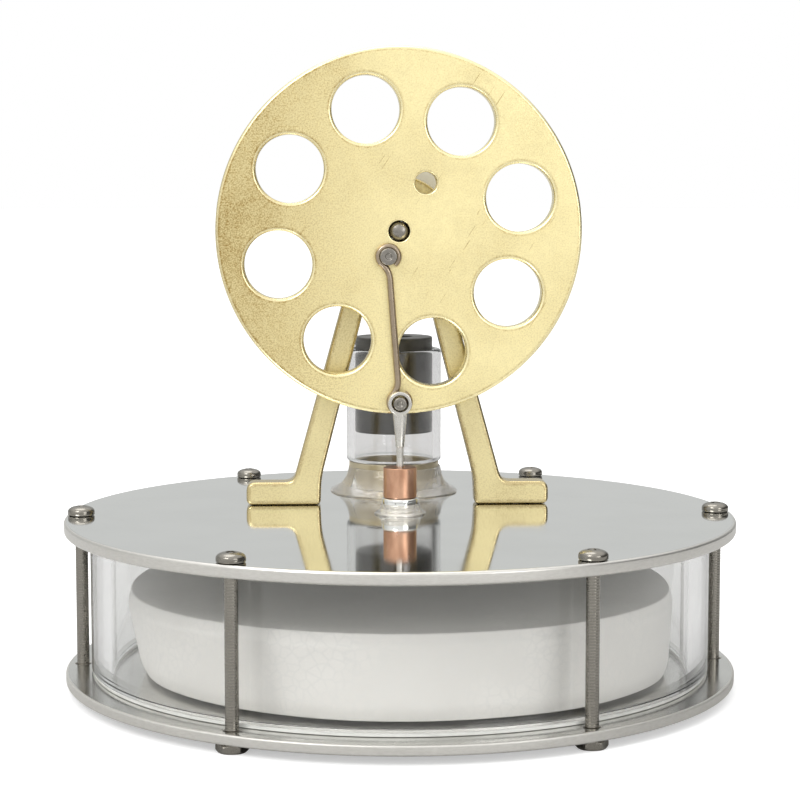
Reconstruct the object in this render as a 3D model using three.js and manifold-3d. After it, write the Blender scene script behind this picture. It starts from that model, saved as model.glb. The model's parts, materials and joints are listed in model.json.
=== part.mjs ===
// Stirling engine model: a display engine that runs on the heat of a hand or a cup.
// A foam displacer moves in a clear chamber between two plates. A graphite piston runs in a
// glass cylinder. Both drive one crankshaft with a brass flywheel, a quarter turn apart.
// Millimetres, +Z up. The origin is the centre of the base, on the surface it stands on.
// The flywheel's face looks along -Y.

import * as THREE from 'three';
import { mergeVertices } from 'three/addons/utils/BufferGeometryUtils.js';
import Module from 'manifold-3d';

const wasm = await Module();
wasm.setup();

// ---- Driving dimensions ----

const FINE = 60; // sides of the large round pieces
const MEDIUM = 28; // sides of the cylinder, bearing and boss
const COARSE = 16; // sides of the small turned pieces
const TINY = 12; // sides of screws and pins

const AIR = 0.05; // gap between faces that rest on each other
const FIT_GAP = 0.1; // round a pin in its hole
const HOLE_GAP = 0.15; // round a screw or shaft in a wider hole
const RUNNING_GAP = 0.35; // gap between moving pieces that pass each other

const PLATE_RADIUS = 50;
const BOTTOM_PLATE_THICKNESS = 1.5;
const TOP_PLATE_THICKNESS = 1.8;
const CHAMBER_HEIGHT = 20.7; // inside, from plate to plate
const RING_OUTER_RADIUS = 46.2;
const RING_INNER_RADIUS = 43.2;
const SEAL_THICKNESS = 0.5;

const SCREW_COUNT = 6;
const SCREW_CIRCLE_RADIUS = 47.7;
const SCREW_RADIUS = 0.95;
const SCREW_HEAD_RADIUS = 2;
const SCREW_HEAD_HEIGHT = 1.5;
const SCREW_HOLE_RADIUS = 1.15;
const NUT_HEIGHT = 1.3;
const NUT_ACROSS_FLATS = 3.9;
const CROSS_RECESS = { length: 2.1, width: 0.5, depth: 0.8 };

const SHAFT_HEIGHT = 42.25; // crankshaft axis above the top plate
const SHAFT_RADIUS = 1.45;
const SLEEVE_RADIUS = 2.3;
const FLYWHEEL_RADIUS = 27.5;
const FLYWHEEL_THICKNESS = 3.5;
const FLYWHEEL_FRONT_Y = 2.4;
const LIGHTENING_HOLES = 8;
const LIGHTENING_RADIUS = 5.1;
const LIGHTENING_CIRCLE_RADIUS = 18.8;
const LIGHTENING_START_DEG = 15.4;
const TIMING_HOLE = { x: 4, z: 7.2, radius: 1.65 };

const BRACKET_FRONT_Y = 8.6;
const BRACKET_THICKNESS = 4;
const BOSS_RADIUS = 8.4;
const FOOT_HEIGHT = 3.5;
const FOOT_OUTER_X = 23.3;
const FOOT_INNER_X = 11.9;
const FOOT_SCREW_X = 18.5;
const FOOT_SCREW = { radius: 0.9, headRadius: 1.8, headHeight: 1, length: 4.5 };

const BEARING_OUTER_RADIUS = 5;
const BEARING_OUTER_RACE_RADIUS = 4.1;
const BEARING_INNER_RACE_RADIUS = 2.4;
const BEARING_BALLS = 7;
const BEARING_BALL_RADIUS = 0.7;
const SHIELD_THICKNESS = 0.3;

const CRANK_ANGLE_DEG = -114; // displacer crank at rest, counter-clockwise from +X
const CRANK_RADIUS = 4.1;
const PISTON_CRANK_ANGLE_DEG = CRANK_ANGLE_DEG + 270; // a quarter turn from the displacer's
const PISTON_CRANK_RADIUS = 3;

const WIRE_RADIUS = 0.5;
const WIRE_STEPS = 54;
const EYE_RADIUS = 1.5; // middle of the wire in a con-rod's eye
const CONROD_LENGTH = 21.96;
const CONROD_Y = 1.55;
const PISTON_CONROD_LENGTH = 24.08;

const DISPLACER_RADIUS = 41;
const DISPLACER_THICKNESS = 12.2;
const HUB = { radius: 1.9, flangeRadius: 3.8, flangeThickness: 0.8 };
const DISPLACER_CLEARANCE = 0.15; // to each plate, at the ends of its stroke
const ROD_RADIUS = 0.525;
const HEAD_EYE_RADIUS = 1.8;
const HEAD_THICKNESS = 1.4;
const HEAD_HEIGHT = 6.6; // from its lower end to the pin
const PIN_RADIUS = 0.55;
const PIN_HEAD_RADIUS = 1.1;
const CRANK_HOLE_RADIUS = 0.8; // in the flywheel, behind the crank pin
const EYE_PIN = { radius: 0.9, headRadius: 1.3 };

const GUIDE_COLLAR_HEIGHT = 2.45;
const GUIDE_COLLAR_RADIUS = 2.75;
const GUIDE_SPIGOT_RADIUS = 1.6; // the collar's part inside the top plate
const GUIDE_BORE_RADIUS = 0.75;
const GUIDE_BUSH_RADIUS = 2.5;
const GUIDE_BUSH_TOP = 7; // above the top plate
const GUIDE_GLUE = { spread: 1.3, height: 1.5 };

const CYLINDER_Y = 25;
const CYLINDER_OUTER_RADIUS = 7.6;
const CYLINDER_INNER_RADIUS = 6.35;
const CYLINDER_COLLAR_RADIUS = 7.2;
const CYLINDER_COLLAR_HEIGHT = 4.9;
const CYLINDER_COLLAR_BORE_RADIUS = 6.2;
const CYLINDER_TOP = 23; // above the top plate
const PASSAGE_RADIUS = 4.5;
const CYLINDER_GLUE = { spread: 3.6, height: 4 };
const PISTON_RADIUS = 6.2;
const PISTON_LENGTH = 15.25;
const PISTON_POCKET_RADIUS = 3;
const PISTON_POCKET_DEPTH = 8.4;
const GUDGEON_DEPTH = 5.4; // gudgeon pin below the piston's top
const GUDGEON_RADIUS = 0.8;
const CRANK_DISC_RADIUS = 10.6;
const CRANK_DISC_Y = 18.5;
const CRANK_DISC_THICKNESS = 3;
const PISTON_PIN_RADIUS = 0.9;

// ---- Heights that follow from them ----

const BOTTOM_PLATE_Z = NUT_HEIGHT;
const CHAMBER_FLOOR_Z = BOTTOM_PLATE_Z + BOTTOM_PLATE_THICKNESS;
const CHAMBER_CEILING_Z = CHAMBER_FLOOR_Z + CHAMBER_HEIGHT;
const DECK_Z = CHAMBER_CEILING_Z + TOP_PLATE_THICKNESS; // upper face of the top plate
const AXIS_Z = DECK_Z + SHAFT_HEIGHT;

const CRANK_X = CRANK_RADIUS * Math.cos(THREE.MathUtils.degToRad(CRANK_ANGLE_DEG));
const CRANK_Z = CRANK_RADIUS * Math.sin(THREE.MathUtils.degToRad(CRANK_ANGLE_DEG));
const CONROD_LEAN = Math.asin(CRANK_X / CONROD_LENGTH);
const LOWER_PIN_Z = AXIS_Z + CRANK_Z - CONROD_LENGTH * Math.cos(CONROD_LEAN);
const REST_LIFT = LOWER_PIN_Z - (AXIS_Z - CRANK_RADIUS - CONROD_LENGTH); // above bottom dead centre
const DISPLACER_Z = CHAMBER_FLOOR_Z + DISPLACER_CLEARANCE + REST_LIFT;

const PISTON_CRANK_X =
  PISTON_CRANK_RADIUS * Math.cos(THREE.MathUtils.degToRad(PISTON_CRANK_ANGLE_DEG));
const PISTON_CRANK_Z =
  PISTON_CRANK_RADIUS * Math.sin(THREE.MathUtils.degToRad(PISTON_CRANK_ANGLE_DEG));
const PISTON_CONROD_LEAN = Math.asin(PISTON_CRANK_X / PISTON_CONROD_LENGTH);
const GUDGEON_Z = AXIS_Z + PISTON_CRANK_Z - PISTON_CONROD_LENGTH * Math.cos(PISTON_CONROD_LEAN);
const PISTON_TOP_Z = GUDGEON_Z + GUDGEON_DEPTH;

const FLYWHEEL_BACK_Y = FLYWHEEL_FRONT_Y + FLYWHEEL_THICKNESS;
const BRACKET_BACK_Y = BRACKET_FRONT_Y + BRACKET_THICKNESS;
const PISTON_PIN_END_Y = CYLINDER_Y - WIRE_RADIUS - RUNNING_GAP;

// ---- Materials ----

function finish(color, roughness, metalness, extra = {}) {
  return new THREE.MeshStandardMaterial({ color, roughness, metalness, ...extra });
}

const polishedAluminium = finish(0xc9c9c8, 0.12, 1);
const brass = finish(0xe3cf86, 0.35, 1);
const steel = finish(0x8d8a84, 0.3, 1);
const wireSteel = finish(0x857a6c, 0.35, 1);
const copper = finish(0xb87a58, 0.35, 1);
const foam = finish(0xf0efec, 0.9, 0);
const rubber = finish(0xc9c9c3, 0.6, 0);
const graphite = finish(0x4a4846, 0.55, 0.1);
const acrylic = finish(0xf4f6f6, 0.05, 0, { transparent: true, opacity: 0.25 });
const glass = finish(0xeef2f1, 0.03, 0, { transparent: true, opacity: 0.25 });
const resin = finish(0xe9e6dd, 0.2, 0, { transparent: true, opacity: 0.5 });

// ---- Shape helpers ----

function circlePoints(radius, count, cx = 0, cy = 0) {
  return Array.from({ length: count }, (_, i) => {
    const angle = (2 * Math.PI * i) / count;
    return new THREE.Vector2(cx + radius * Math.cos(angle), cy + radius * Math.sin(angle));
  });
}

// A flat outline with round holes, extruded from z = 0 up.
function extruded(outline, holes, depth) {
  const shape = new THREE.Shape(outline);
  for (const hole of holes) {
    shape.holes.push(new THREE.Path(circlePoints(hole.radius, hole.count, hole.x, hole.y)));
  }
  return new THREE.ExtrudeGeometry(shape, { depth, bevelEnabled: false });
}

// Turns an upright piece so that its z runs along +Y and its y along +Z, from y = 0 back.
function facingFront(geometry, depth) {
  return geometry.rotateX(Math.PI / 2).translate(0, depth, 0);
}

// A turned piece about Z. The profile is [radius, z] pairs, anticlockwise in that plane.
function turned(profile, segments, closed = false) {
  const points = profile.map(([radius, z]) => new THREE.Vector2(radius, z));
  if (closed) points.push(points[0].clone());
  return new THREE.LatheGeometry(points, segments).rotateX(Math.PI / 2);
}

function tube(innerRadius, outerRadius, bottom, top, segments) {
  const profile = [
    [innerRadius, bottom],
    [outerRadius, bottom],
    [outerRadius, top],
    [innerRadius, top],
  ];
  return turned(profile, segments, true);
}

function rod(radius, bottom, top, segments) {
  return turned([[0, bottom], [radius, bottom], [radius, top], [0, top]], segments);
}

// Turns a piece made about Z so that it runs along Y: what was at z goes to y.
function alongY(geometry) {
  return geometry.rotateX(-Math.PI / 2);
}

function solidOf(geometry) {
  const bare = geometry.clone();
  bare.deleteAttribute('normal');
  bare.deleteAttribute('uv');
  const merged = mergeVertices(bare, 1e-4);
  return new wasm.Manifold(
    new wasm.Mesh({
      numProp: 3,
      vertProperties: new Float32Array(merged.attributes.position.array),
      triVerts: new Uint32Array(merged.index.array),
    }),
  );
}

function geometryOf(solid) {
  const mesh = solid.getMesh();
  const geometry = new THREE.BufferGeometry();
  geometry.setAttribute('position', new THREE.BufferAttribute(mesh.vertProperties, 3));
  geometry.setIndex(new THREE.BufferAttribute(mesh.triVerts, 1));
  return geometry;
}

function cut(base, tools) {
  return geometryOf(tools.reduce((left, tool) => left.subtract(solidOf(tool)), solidOf(base)));
}

function join(pieces) {
  return geometryOf(pieces.map(solidOf).reduce((all, piece) => all.add(piece)));
}

const engine = new THREE.Group();

function add(name, geometry, material, x = 0, y = 0, z = 0, parent = engine) {
  const mesh = new THREE.Mesh(geometry, material);
  mesh.name = name;
  mesh.position.set(x, y, z);
  parent.add(mesh);
  return mesh;
}

// ---- Chamber: two plates, the clear ring between them and its seals ----

function screwPlaces() {
  return Array.from({ length: SCREW_COUNT }, (_, i) => {
    const angle = (2 * Math.PI * i) / SCREW_COUNT;
    return {
      x: SCREW_CIRCLE_RADIUS * Math.cos(angle),
      y: SCREW_CIRCLE_RADIUS * Math.sin(angle),
    };
  });
}

function plate(thickness, extraHoles) {
  const screwHoles = screwPlaces().map((at) => ({ ...at, radius: SCREW_HOLE_RADIUS, count: TINY }));
  const holes = [...screwHoles, ...extraHoles];
  return extruded(circlePoints(PLATE_RADIUS, FINE), holes, thickness);
}

function addChamber() {
  const bottomPlate = plate(BOTTOM_PLATE_THICKNESS, []);
  add('bottom_plate', bottomPlate, polishedAluminium, 0, 0, BOTTOM_PLATE_Z);
  add('top_plate', topPlate(), polishedAluminium, 0, 0, CHAMBER_CEILING_Z);

  const ringBottom = CHAMBER_FLOOR_Z + SEAL_THICKNESS + 2 * AIR;
  const ringTop = CHAMBER_CEILING_Z - SEAL_THICKNESS - 2 * AIR;
  const ring = tube(RING_INNER_RADIUS, RING_OUTER_RADIUS, ringBottom, ringTop, FINE);
  add('chamber_ring', ring, acrylic);

  const seal = () => tube(RING_INNER_RADIUS + 0.2, RING_OUTER_RADIUS - 0.2, 0, SEAL_THICKNESS, FINE);
  add('lower_seal', seal(), rubber, 0, 0, CHAMBER_FLOOR_Z + AIR);
  add('upper_seal', seal(), rubber, 0, 0, CHAMBER_CEILING_Z - SEAL_THICKNESS - AIR);
}

// The top plate also has the rod's hole, the air passage and two countersunk foot screw holes.
function topPlate() {
  const footY = BRACKET_FRONT_Y + BRACKET_THICKNESS / 2;
  const blank = plate(TOP_PLATE_THICKNESS, [
    { x: 0, y: 0, radius: GUIDE_SPIGOT_RADIUS + HOLE_GAP, count: COARSE },
    { x: 0, y: CYLINDER_Y, radius: PASSAGE_RADIUS, count: MEDIUM },
  ]);
  const countersinks = [-FOOT_SCREW_X, FOOT_SCREW_X].map((x) =>
    turned(
      [
        [0, -1],
        [FOOT_SCREW.headRadius + HOLE_GAP, -1],
        [FOOT_SCREW.headRadius + HOLE_GAP, FIT_GAP],
        [FOOT_SCREW.radius + HOLE_GAP, FOOT_SCREW.headHeight + FIT_GAP],
        [FOOT_SCREW.radius + HOLE_GAP, TOP_PLATE_THICKNESS + 1],
        [0, TOP_PLATE_THICKNESS + 1],
      ],
      TINY,
    ).translate(x, footY, 0),
  );
  return cut(blank, countersinks);
}

// ---- Six tie screws with pan heads and cross recesses, and their nuts ----

function tieScrew() {
  const length = DECK_Z - HOLE_GAP; // its tip ends just inside the nut
  const blank = turned(
    [
      [0, -length],
      [SCREW_RADIUS - 0.2, -length],
      [SCREW_RADIUS, -length + 0.25],
      [SCREW_RADIUS, AIR],
      [SCREW_HEAD_RADIUS, AIR],
      [SCREW_HEAD_RADIUS, 0.7],
      [0.75 * SCREW_HEAD_RADIUS, 0.85 * SCREW_HEAD_HEIGHT],
      [0, SCREW_HEAD_HEIGHT],
    ],
    TINY,
  );
  const { length: reach, width, depth } = CROSS_RECESS;
  const slot = (w, d) => new THREE.BoxGeometry(w, d, 2 * depth).translate(0, 0, SCREW_HEAD_HEIGHT);
  return cut(blank, [slot(reach, width), slot(width, reach)]);
}

function hexNut() {
  const cornerRadius = NUT_ACROSS_FLATS / Math.sqrt(3);
  const bore = { x: 0, y: 0, radius: SCREW_RADIUS + FIT_GAP, count: TINY };
  return extruded(circlePoints(cornerRadius, 6), [bore], NUT_HEIGHT - AIR);
}

function addTieScrews() {
  screwPlaces().forEach(({ x, y }, i) => {
    add(`tie_screw_${i + 1}`, tieScrew(), steel, x, y, DECK_Z);
    add(`tie_nut_${i + 1}`, hexNut(), steel, x, y, 0);
  });
}

// ---- Bracket: one cast plate with two legs, two feet and a boss for the bearing ----

// An outline whose corners are [x, y, round], each rounded by cutting back that far.
function roundedOutline(corners) {
  const shape = new THREE.Shape();
  const at = (i) => corners[(i + corners.length) % corners.length];
  corners.forEach(([x, y, round], i) => {
    const corner = new THREE.Vector2(x, y);
    const towards = (j) =>
      new THREE.Vector2(at(j)[0], at(j)[1]).sub(corner).setLength(round).add(corner);
    const enter = towards(i - 1);
    const leave = towards(i + 1);
    if (i === 0) shape.moveTo(enter.x, enter.y);
    else shape.lineTo(enter.x, enter.y);
    shape.quadraticCurveTo(x, y, leave.x, leave.y);
  });
  return shape.getPoints(4);
}

function bracketLegs() {
  const rightSide = [
    [2.6, SHAFT_HEIGHT - 2, 0.5],
    [FOOT_INNER_X - 0.15, 4.2, 1.5],
    [FOOT_INNER_X, 0, 0.7],
    [FOOT_OUTER_X, 0, 0.7],
    [FOOT_OUTER_X, FOOT_HEIGHT, 1.2],
    [16.1, FOOT_HEIGHT, 1.1],
    [5.4, SHAFT_HEIGHT, 0.5],
  ];
  const leftSide = rightSide.map(([x, z, round]) => [-x, z, round]).reverse();
  return extruded(roundedOutline([...rightSide, ...leftSide]), [], BRACKET_THICKNESS);
}

function bracket() {
  const boss = rod(BOSS_RADIUS, 0, BRACKET_THICKNESS, MEDIUM).translate(0, SHAFT_HEIGHT, 0);
  const blank = facingFront(join([bracketLegs(), boss]), BRACKET_THICKNESS);
  const bore = alongY(rod(BEARING_OUTER_RADIUS + AIR, -1, BRACKET_THICKNESS + 1, MEDIUM));
  bore.translate(0, 0, SHAFT_HEIGHT);
  const tappedHoles = [-FOOT_SCREW_X, FOOT_SCREW_X].map((x) =>
    rod(FOOT_SCREW.radius + FIT_GAP, -1, FOOT_HEIGHT - 0.5, TINY).translate(x, BRACKET_THICKNESS / 2, 0),
  );
  return cut(blank, [bore, ...tappedHoles]);
}

function footScrew() {
  return turned(
    [
      [0, 0],
      [FOOT_SCREW.headRadius, 0],
      [FOOT_SCREW.radius, FOOT_SCREW.headHeight],
      [FOOT_SCREW.radius, FOOT_SCREW.length],
      [0, FOOT_SCREW.length],
    ],
    TINY,
  );
}

function addBracket() {
  add('bracket', bracket(), brass, 0, BRACKET_FRONT_Y, DECK_Z + AIR);
  const footY = BRACKET_FRONT_Y + BRACKET_THICKNESS / 2;
  add('foot_screw_left', footScrew(), steel, -FOOT_SCREW_X, footY, CHAMBER_CEILING_Z + AIR);
  add('foot_screw_right', footScrew(), steel, FOOT_SCREW_X, footY, CHAMBER_CEILING_Z + AIR);
}

// ---- Ball bearing in the boss: two rings, the balls and two shields ----

function addBearing() {
  const middleY = BRACKET_FRONT_Y + BRACKET_THICKNESS / 2;
  const half = BRACKET_THICKNESS / 2;
  const outerRing = alongY(tube(BEARING_OUTER_RACE_RADIUS, BEARING_OUTER_RADIUS, -half, half, MEDIUM));
  add('bearing_outer_ring', outerRing, steel, 0, middleY, AXIS_Z);
  const innerRing = alongY(tube(SHAFT_RADIUS + FIT_GAP, BEARING_INNER_RACE_RADIUS, -half, half, MEDIUM));
  add('bearing_inner_ring', innerRing, steel, 0, middleY, AXIS_Z);

  const pitchRadius = (BEARING_OUTER_RACE_RADIUS + BEARING_INNER_RACE_RADIUS) / 2;
  for (let i = 0; i < BEARING_BALLS; i += 1) {
    const angle = (2 * Math.PI * i) / BEARING_BALLS;
    const ball = new THREE.SphereGeometry(BEARING_BALL_RADIUS, 8, 6);
    const x = pitchRadius * Math.cos(angle);
    const z = AXIS_Z + pitchRadius * Math.sin(angle);
    add(`bearing_ball_${i + 1}`, ball, steel, x, middleY, z);
  }

  const shieldInner = BEARING_INNER_RACE_RADIUS + 0.25;
  const shieldOuter = BEARING_OUTER_RACE_RADIUS - AIR;
  const shield = () => alongY(tube(shieldInner, shieldOuter, 0, SHIELD_THICKNESS, MEDIUM));
  add('bearing_shield_front', shield(), steel, 0, BRACKET_FRONT_Y + 0.2, AXIS_Z);
  const rearY = BRACKET_BACK_Y - 0.2 - SHIELD_THICKNESS;
  add('bearing_shield_rear', shield(), steel, 0, rearY, AXIS_Z);
}

// ---- Rod guide: an aluminium collar in the top plate, a copper bush and a glue fillet ----

function addRodGuide() {
  const collar = turned(
    [
      [GUIDE_BORE_RADIUS, -TOP_PLATE_THICKNESS + 0.1],
      [GUIDE_SPIGOT_RADIUS, -TOP_PLATE_THICKNESS + 0.1],
      [GUIDE_SPIGOT_RADIUS, AIR],
      [GUIDE_COLLAR_RADIUS, AIR],
      [GUIDE_COLLAR_RADIUS, GUIDE_COLLAR_HEIGHT - 0.4],
      [GUIDE_COLLAR_RADIUS - 0.35, GUIDE_COLLAR_HEIGHT],
      [GUIDE_BORE_RADIUS, GUIDE_COLLAR_HEIGHT],
    ],
    COARSE,
    true,
  );
  add('guide_collar', collar, polishedAluminium, 0, 0, DECK_Z);

  const bushBottom = GUIDE_COLLAR_HEIGHT + AIR;
  const bush = tube(GUIDE_BORE_RADIUS, GUIDE_BUSH_RADIUS, bushBottom, GUIDE_BUSH_TOP, COARSE);
  add('guide_bush', bush, copper, 0, 0, DECK_Z);
  add('guide_glue', glueFillet(GUIDE_COLLAR_RADIUS, GUIDE_GLUE, COARSE), resin, 0, 0, DECK_Z);
}

// A hollow fillet of clear glue round the foot of a turned piece.
function glueFillet(innerRadius, { spread, height }, segments) {
  const steps = 3;
  const thin = 0.12; // thickness at the fillet's edges
  const inner = innerRadius + AIR;
  const curve = Array.from({ length: steps + 1 }, (_, i) => {
    const angle = (Math.PI / 2) * (i / steps);
    return [
      inner + thin + spread * (1 - Math.sin(angle)),
      AIR + thin + (height - thin) * (1 - Math.cos(angle)),
    ];
  });
  const profile = [[inner, AIR], [inner + spread, AIR], ...curve, [inner, height + AIR]];
  return turned(profile, segments, true);
}

// ---- Power cylinder: brass collar, glass tube and the glue round the collar ----

function addPowerCylinder() {
  const collarTop = CYLINDER_COLLAR_HEIGHT;
  const collar = turned(
    [
      [CYLINDER_COLLAR_BORE_RADIUS, AIR],
      [CYLINDER_COLLAR_RADIUS, AIR],
      [CYLINDER_COLLAR_RADIUS, collarTop],
      [CYLINDER_COLLAR_BORE_RADIUS, collarTop],
    ],
    MEDIUM,
    true,
  );
  add('cylinder_collar', collar, brass, 0, CYLINDER_Y, DECK_Z);

  const glassTube = tube(
    CYLINDER_INNER_RADIUS,
    CYLINDER_OUTER_RADIUS,
    collarTop + AIR,
    CYLINDER_TOP,
    MEDIUM,
  );
  add('power_cylinder', glassTube, glass, 0, CYLINDER_Y, DECK_Z);
  const glue = glueFillet(CYLINDER_COLLAR_RADIUS, CYLINDER_GLUE, MEDIUM);
  add('cylinder_glue', glue, resin, 0, CYLINDER_Y, DECK_Z);
}

// ---- Displacer: foam disc, hub, rod and the head with its pivot pin ----

function addDisplacer() {
  const group = new THREE.Group();
  engine.add(group);

  const top = DISPLACER_THICKNESS;
  const seatRadius = HUB.radius + 2 * FIT_GAP;
  const recessRadius = HUB.flangeRadius + 2 * FIT_GAP;
  const recessFloor = top - HUB.flangeThickness - 2 * FIT_GAP;
  const disc = turned(
    [
      [seatRadius, 0],
      [DISPLACER_RADIUS - 0.5, 0],
      [DISPLACER_RADIUS, 0.5],
      [DISPLACER_RADIUS, top - 0.8],
      [DISPLACER_RADIUS - 0.8, top],
      [recessRadius, top],
      [recessRadius, recessFloor],
      [seatRadius, recessFloor],
    ],
    FINE,
    true,
  );
  add('displacer', disc, foam, 0, 0, DISPLACER_Z, group);

  const boreRadius = ROD_RADIUS + FIT_GAP;
  const hub = turned(
    [
      [boreRadius, FIT_GAP],
      [HUB.radius, FIT_GAP],
      [HUB.radius, recessFloor + FIT_GAP],
      [HUB.flangeRadius, recessFloor + FIT_GAP],
      [HUB.flangeRadius, top - FIT_GAP],
      [boreRadius, top - FIT_GAP],
    ],
    COARSE,
    true,
  );
  add('displacer_hub', hub, polishedAluminium, 0, 0, DISPLACER_Z, group);

  const headBottom = LOWER_PIN_Z - HEAD_HEIGHT;
  const socketDepth = 2;
  const rodBottom = DISPLACER_Z + 1;
  const stem = rod(ROD_RADIUS, 0, headBottom + socketDepth - AIR - rodBottom, TINY);
  add('displacer_rod', stem, steel, 0, 0, rodBottom, group);

  const cone = turned(
    [[0, -HEAD_HEIGHT], [0.72, -HEAD_HEIGHT], [1.05, -2], [0.65, -1.25], [0, -1.25]],
    COARSE,
  );
  const eye = alongY(rod(HEAD_EYE_RADIUS, -HEAD_THICKNESS / 2, HEAD_THICKNESS / 2, COARSE));
  const pinHole = alongY(rod(PIN_RADIUS + FIT_GAP, -2, 2, TINY));
  const socket = rod(ROD_RADIUS + FIT_GAP, -8, socketDepth - HEAD_HEIGHT, TINY);
  const head = cut(join([cone, eye]), [pinHole, socket]);
  add('rod_head', head, steel, 0, 0, LOWER_PIN_Z, group);

  const pin = turned(
    [
      [0, -CONROD_Y - WIRE_RADIUS],
      [PIN_RADIUS, -CONROD_Y - WIRE_RADIUS],
      [PIN_RADIUS, HEAD_THICKNESS / 2 + AIR],
      [PIN_HEAD_RADIUS, HEAD_THICKNESS / 2 + AIR],
      [PIN_HEAD_RADIUS, HEAD_THICKNESS / 2 + 0.45],
      [0.8 * PIN_HEAD_RADIUS, HEAD_THICKNESS / 2 + 0.6],
      [0, HEAD_THICKNESS / 2 + 0.6],
    ],
    TINY,
  ).rotateX(Math.PI / 2);
  add('displacer_pin', pin, steel, 0, 0, LOWER_PIN_Z, group);
}

// ---- Con-rods: bent from one wire each, with an open eye at both ends ----

// Middle line of the wire, upright, from the upper eye's free end down to the lower eye's.
function wireRoute(length) {
  const eyePoint = (height, degrees) => {
    const angle = THREE.MathUtils.degToRad(degrees);
    return [EYE_RADIUS * Math.cos(angle), height + EYE_RADIUS * Math.sin(angle)];
  };
  const step = 15;
  const points = [];
  for (let angle = -45; angle <= 225; angle += step) points.push(eyePoint(length, angle));
  points.push([-0.42, length - 1.75], [-0.06, length - 2.5], [0, length - 3.3]);
  const middlePoints = 6;
  for (let i = 1; i < middlePoints; i += 1) {
    points.push([0, length - 3.3 - ((length - 6.6) * i) / middlePoints]);
  }
  points.push([0, 3.3], [-0.06, 2.5], [-0.42, 1.75]);
  for (let angle = 135; angle <= 405; angle += step) points.push(eyePoint(0, angle));
  return new THREE.CatmullRomCurve3(points.map(([x, z]) => new THREE.Vector3(x, 0, z)));
}

function wireRod(length) {
  const section = new THREE.Shape(circlePoints(WIRE_RADIUS, 6));
  return new THREE.ExtrudeGeometry(section, {
    steps: WIRE_STEPS,
    bevelEnabled: false,
    extrudePath: wireRoute(length),
  });
}

// Pin with a round head, along Y: the head looks to -Y and the shank fills the eye.
function eyePin() {
  return turned(
    [
      [0, -WIRE_RADIUS],
      [EYE_PIN.radius, -WIRE_RADIUS],
      [EYE_PIN.radius, WIRE_RADIUS + AIR],
      [EYE_PIN.headRadius, WIRE_RADIUS + AIR],
      [EYE_PIN.headRadius, WIRE_RADIUS + 0.35],
      [0.8 * EYE_PIN.headRadius, WIRE_RADIUS + 0.55],
      [0, WIRE_RADIUS + 0.55],
    ],
    TINY,
  ).rotateX(Math.PI / 2);
}

function addConrod(name, pinName, length, lean, y, z, pinTurn) {
  const group = new THREE.Group();
  group.position.set(0, y, z);
  group.rotation.y = lean;
  engine.add(group);
  add(name, wireRod(length), wireSteel, 0, 0, 0, group);
  const pin = add(pinName, eyePin(), steel, 0, 0, length, group);
  pin.rotation.z = pinTurn;
}

// ---- Flywheel, crankshaft and the crank disc behind the bracket ----

function flywheel() {
  const holes = [
    { x: 0, y: 0, radius: SHAFT_RADIUS + HOLE_GAP, count: COARSE },
    { x: CRANK_X, y: CRANK_Z, radius: CRANK_HOLE_RADIUS, count: TINY },
    { x: TIMING_HOLE.x, y: TIMING_HOLE.z, radius: TIMING_HOLE.radius, count: COARSE },
  ];
  for (let i = 0; i < LIGHTENING_HOLES; i += 1) {
    const angle = THREE.MathUtils.degToRad(LIGHTENING_START_DEG + (360 * i) / LIGHTENING_HOLES);
    holes.push({
      x: LIGHTENING_CIRCLE_RADIUS * Math.cos(angle),
      y: LIGHTENING_CIRCLE_RADIUS * Math.sin(angle),
      radius: LIGHTENING_RADIUS,
      count: MEDIUM,
    });
  }
  const wheel = extruded(circlePoints(FLYWHEEL_RADIUS, FINE), holes, FLYWHEEL_THICKNESS);
  return facingFront(wheel, FLYWHEEL_THICKNESS);
}

function crankshaft() {
  const front = FLYWHEEL_FRONT_Y + 0.5;
  const back = CRANK_DISC_Y + CRANK_DISC_THICKNESS;
  return alongY(
    turned(
      [
        [0, front],
        [0.8, front + 0.15],
        [1.3, front + 0.55],
        [SHAFT_RADIUS, front + 1],
        [SHAFT_RADIUS, back],
        [0, back],
      ],
      COARSE,
    ),
  );
}

function crankDisc() {
  const holes = [
    { x: 0, y: 0, radius: SHAFT_RADIUS + FIT_GAP, count: COARSE },
    { x: PISTON_CRANK_X, y: PISTON_CRANK_Z, radius: PISTON_PIN_RADIUS + AIR, count: TINY },
  ];
  const disc = extruded(circlePoints(CRANK_DISC_RADIUS, MEDIUM), holes, CRANK_DISC_THICKNESS);
  return facingFront(disc, CRANK_DISC_THICKNESS);
}

function addRotor() {
  add('flywheel', flywheel(), brass, 0, FLYWHEEL_FRONT_Y, AXIS_Z);
  add('crankshaft', crankshaft(), steel, 0, 0, AXIS_Z);

  const sleeve = (from, to) => alongY(tube(SHAFT_RADIUS + FIT_GAP, SLEEVE_RADIUS, from, to, COARSE));
  const frontSleeve = sleeve(FLYWHEEL_BACK_Y + AIR, BRACKET_FRONT_Y - AIR);
  add('front_sleeve', frontSleeve, polishedAluminium, 0, 0, AXIS_Z);
  const rearSleeve = sleeve(BRACKET_BACK_Y + AIR, CRANK_DISC_Y - AIR);
  add('rear_sleeve', rearSleeve, polishedAluminium, 0, 0, AXIS_Z);

  add('crank_disc', crankDisc(), polishedAluminium, 0, CRANK_DISC_Y, AXIS_Z);
  const pin = alongY(rod(PISTON_PIN_RADIUS, CRANK_DISC_Y, PISTON_PIN_END_Y, TINY));
  add('piston_crank_pin', pin, steel, PISTON_CRANK_X, 0, AXIS_Z + PISTON_CRANK_Z);
}

// ---- Power piston: a graphite plug with a pocket for the con-rod's lower eye ----

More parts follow.
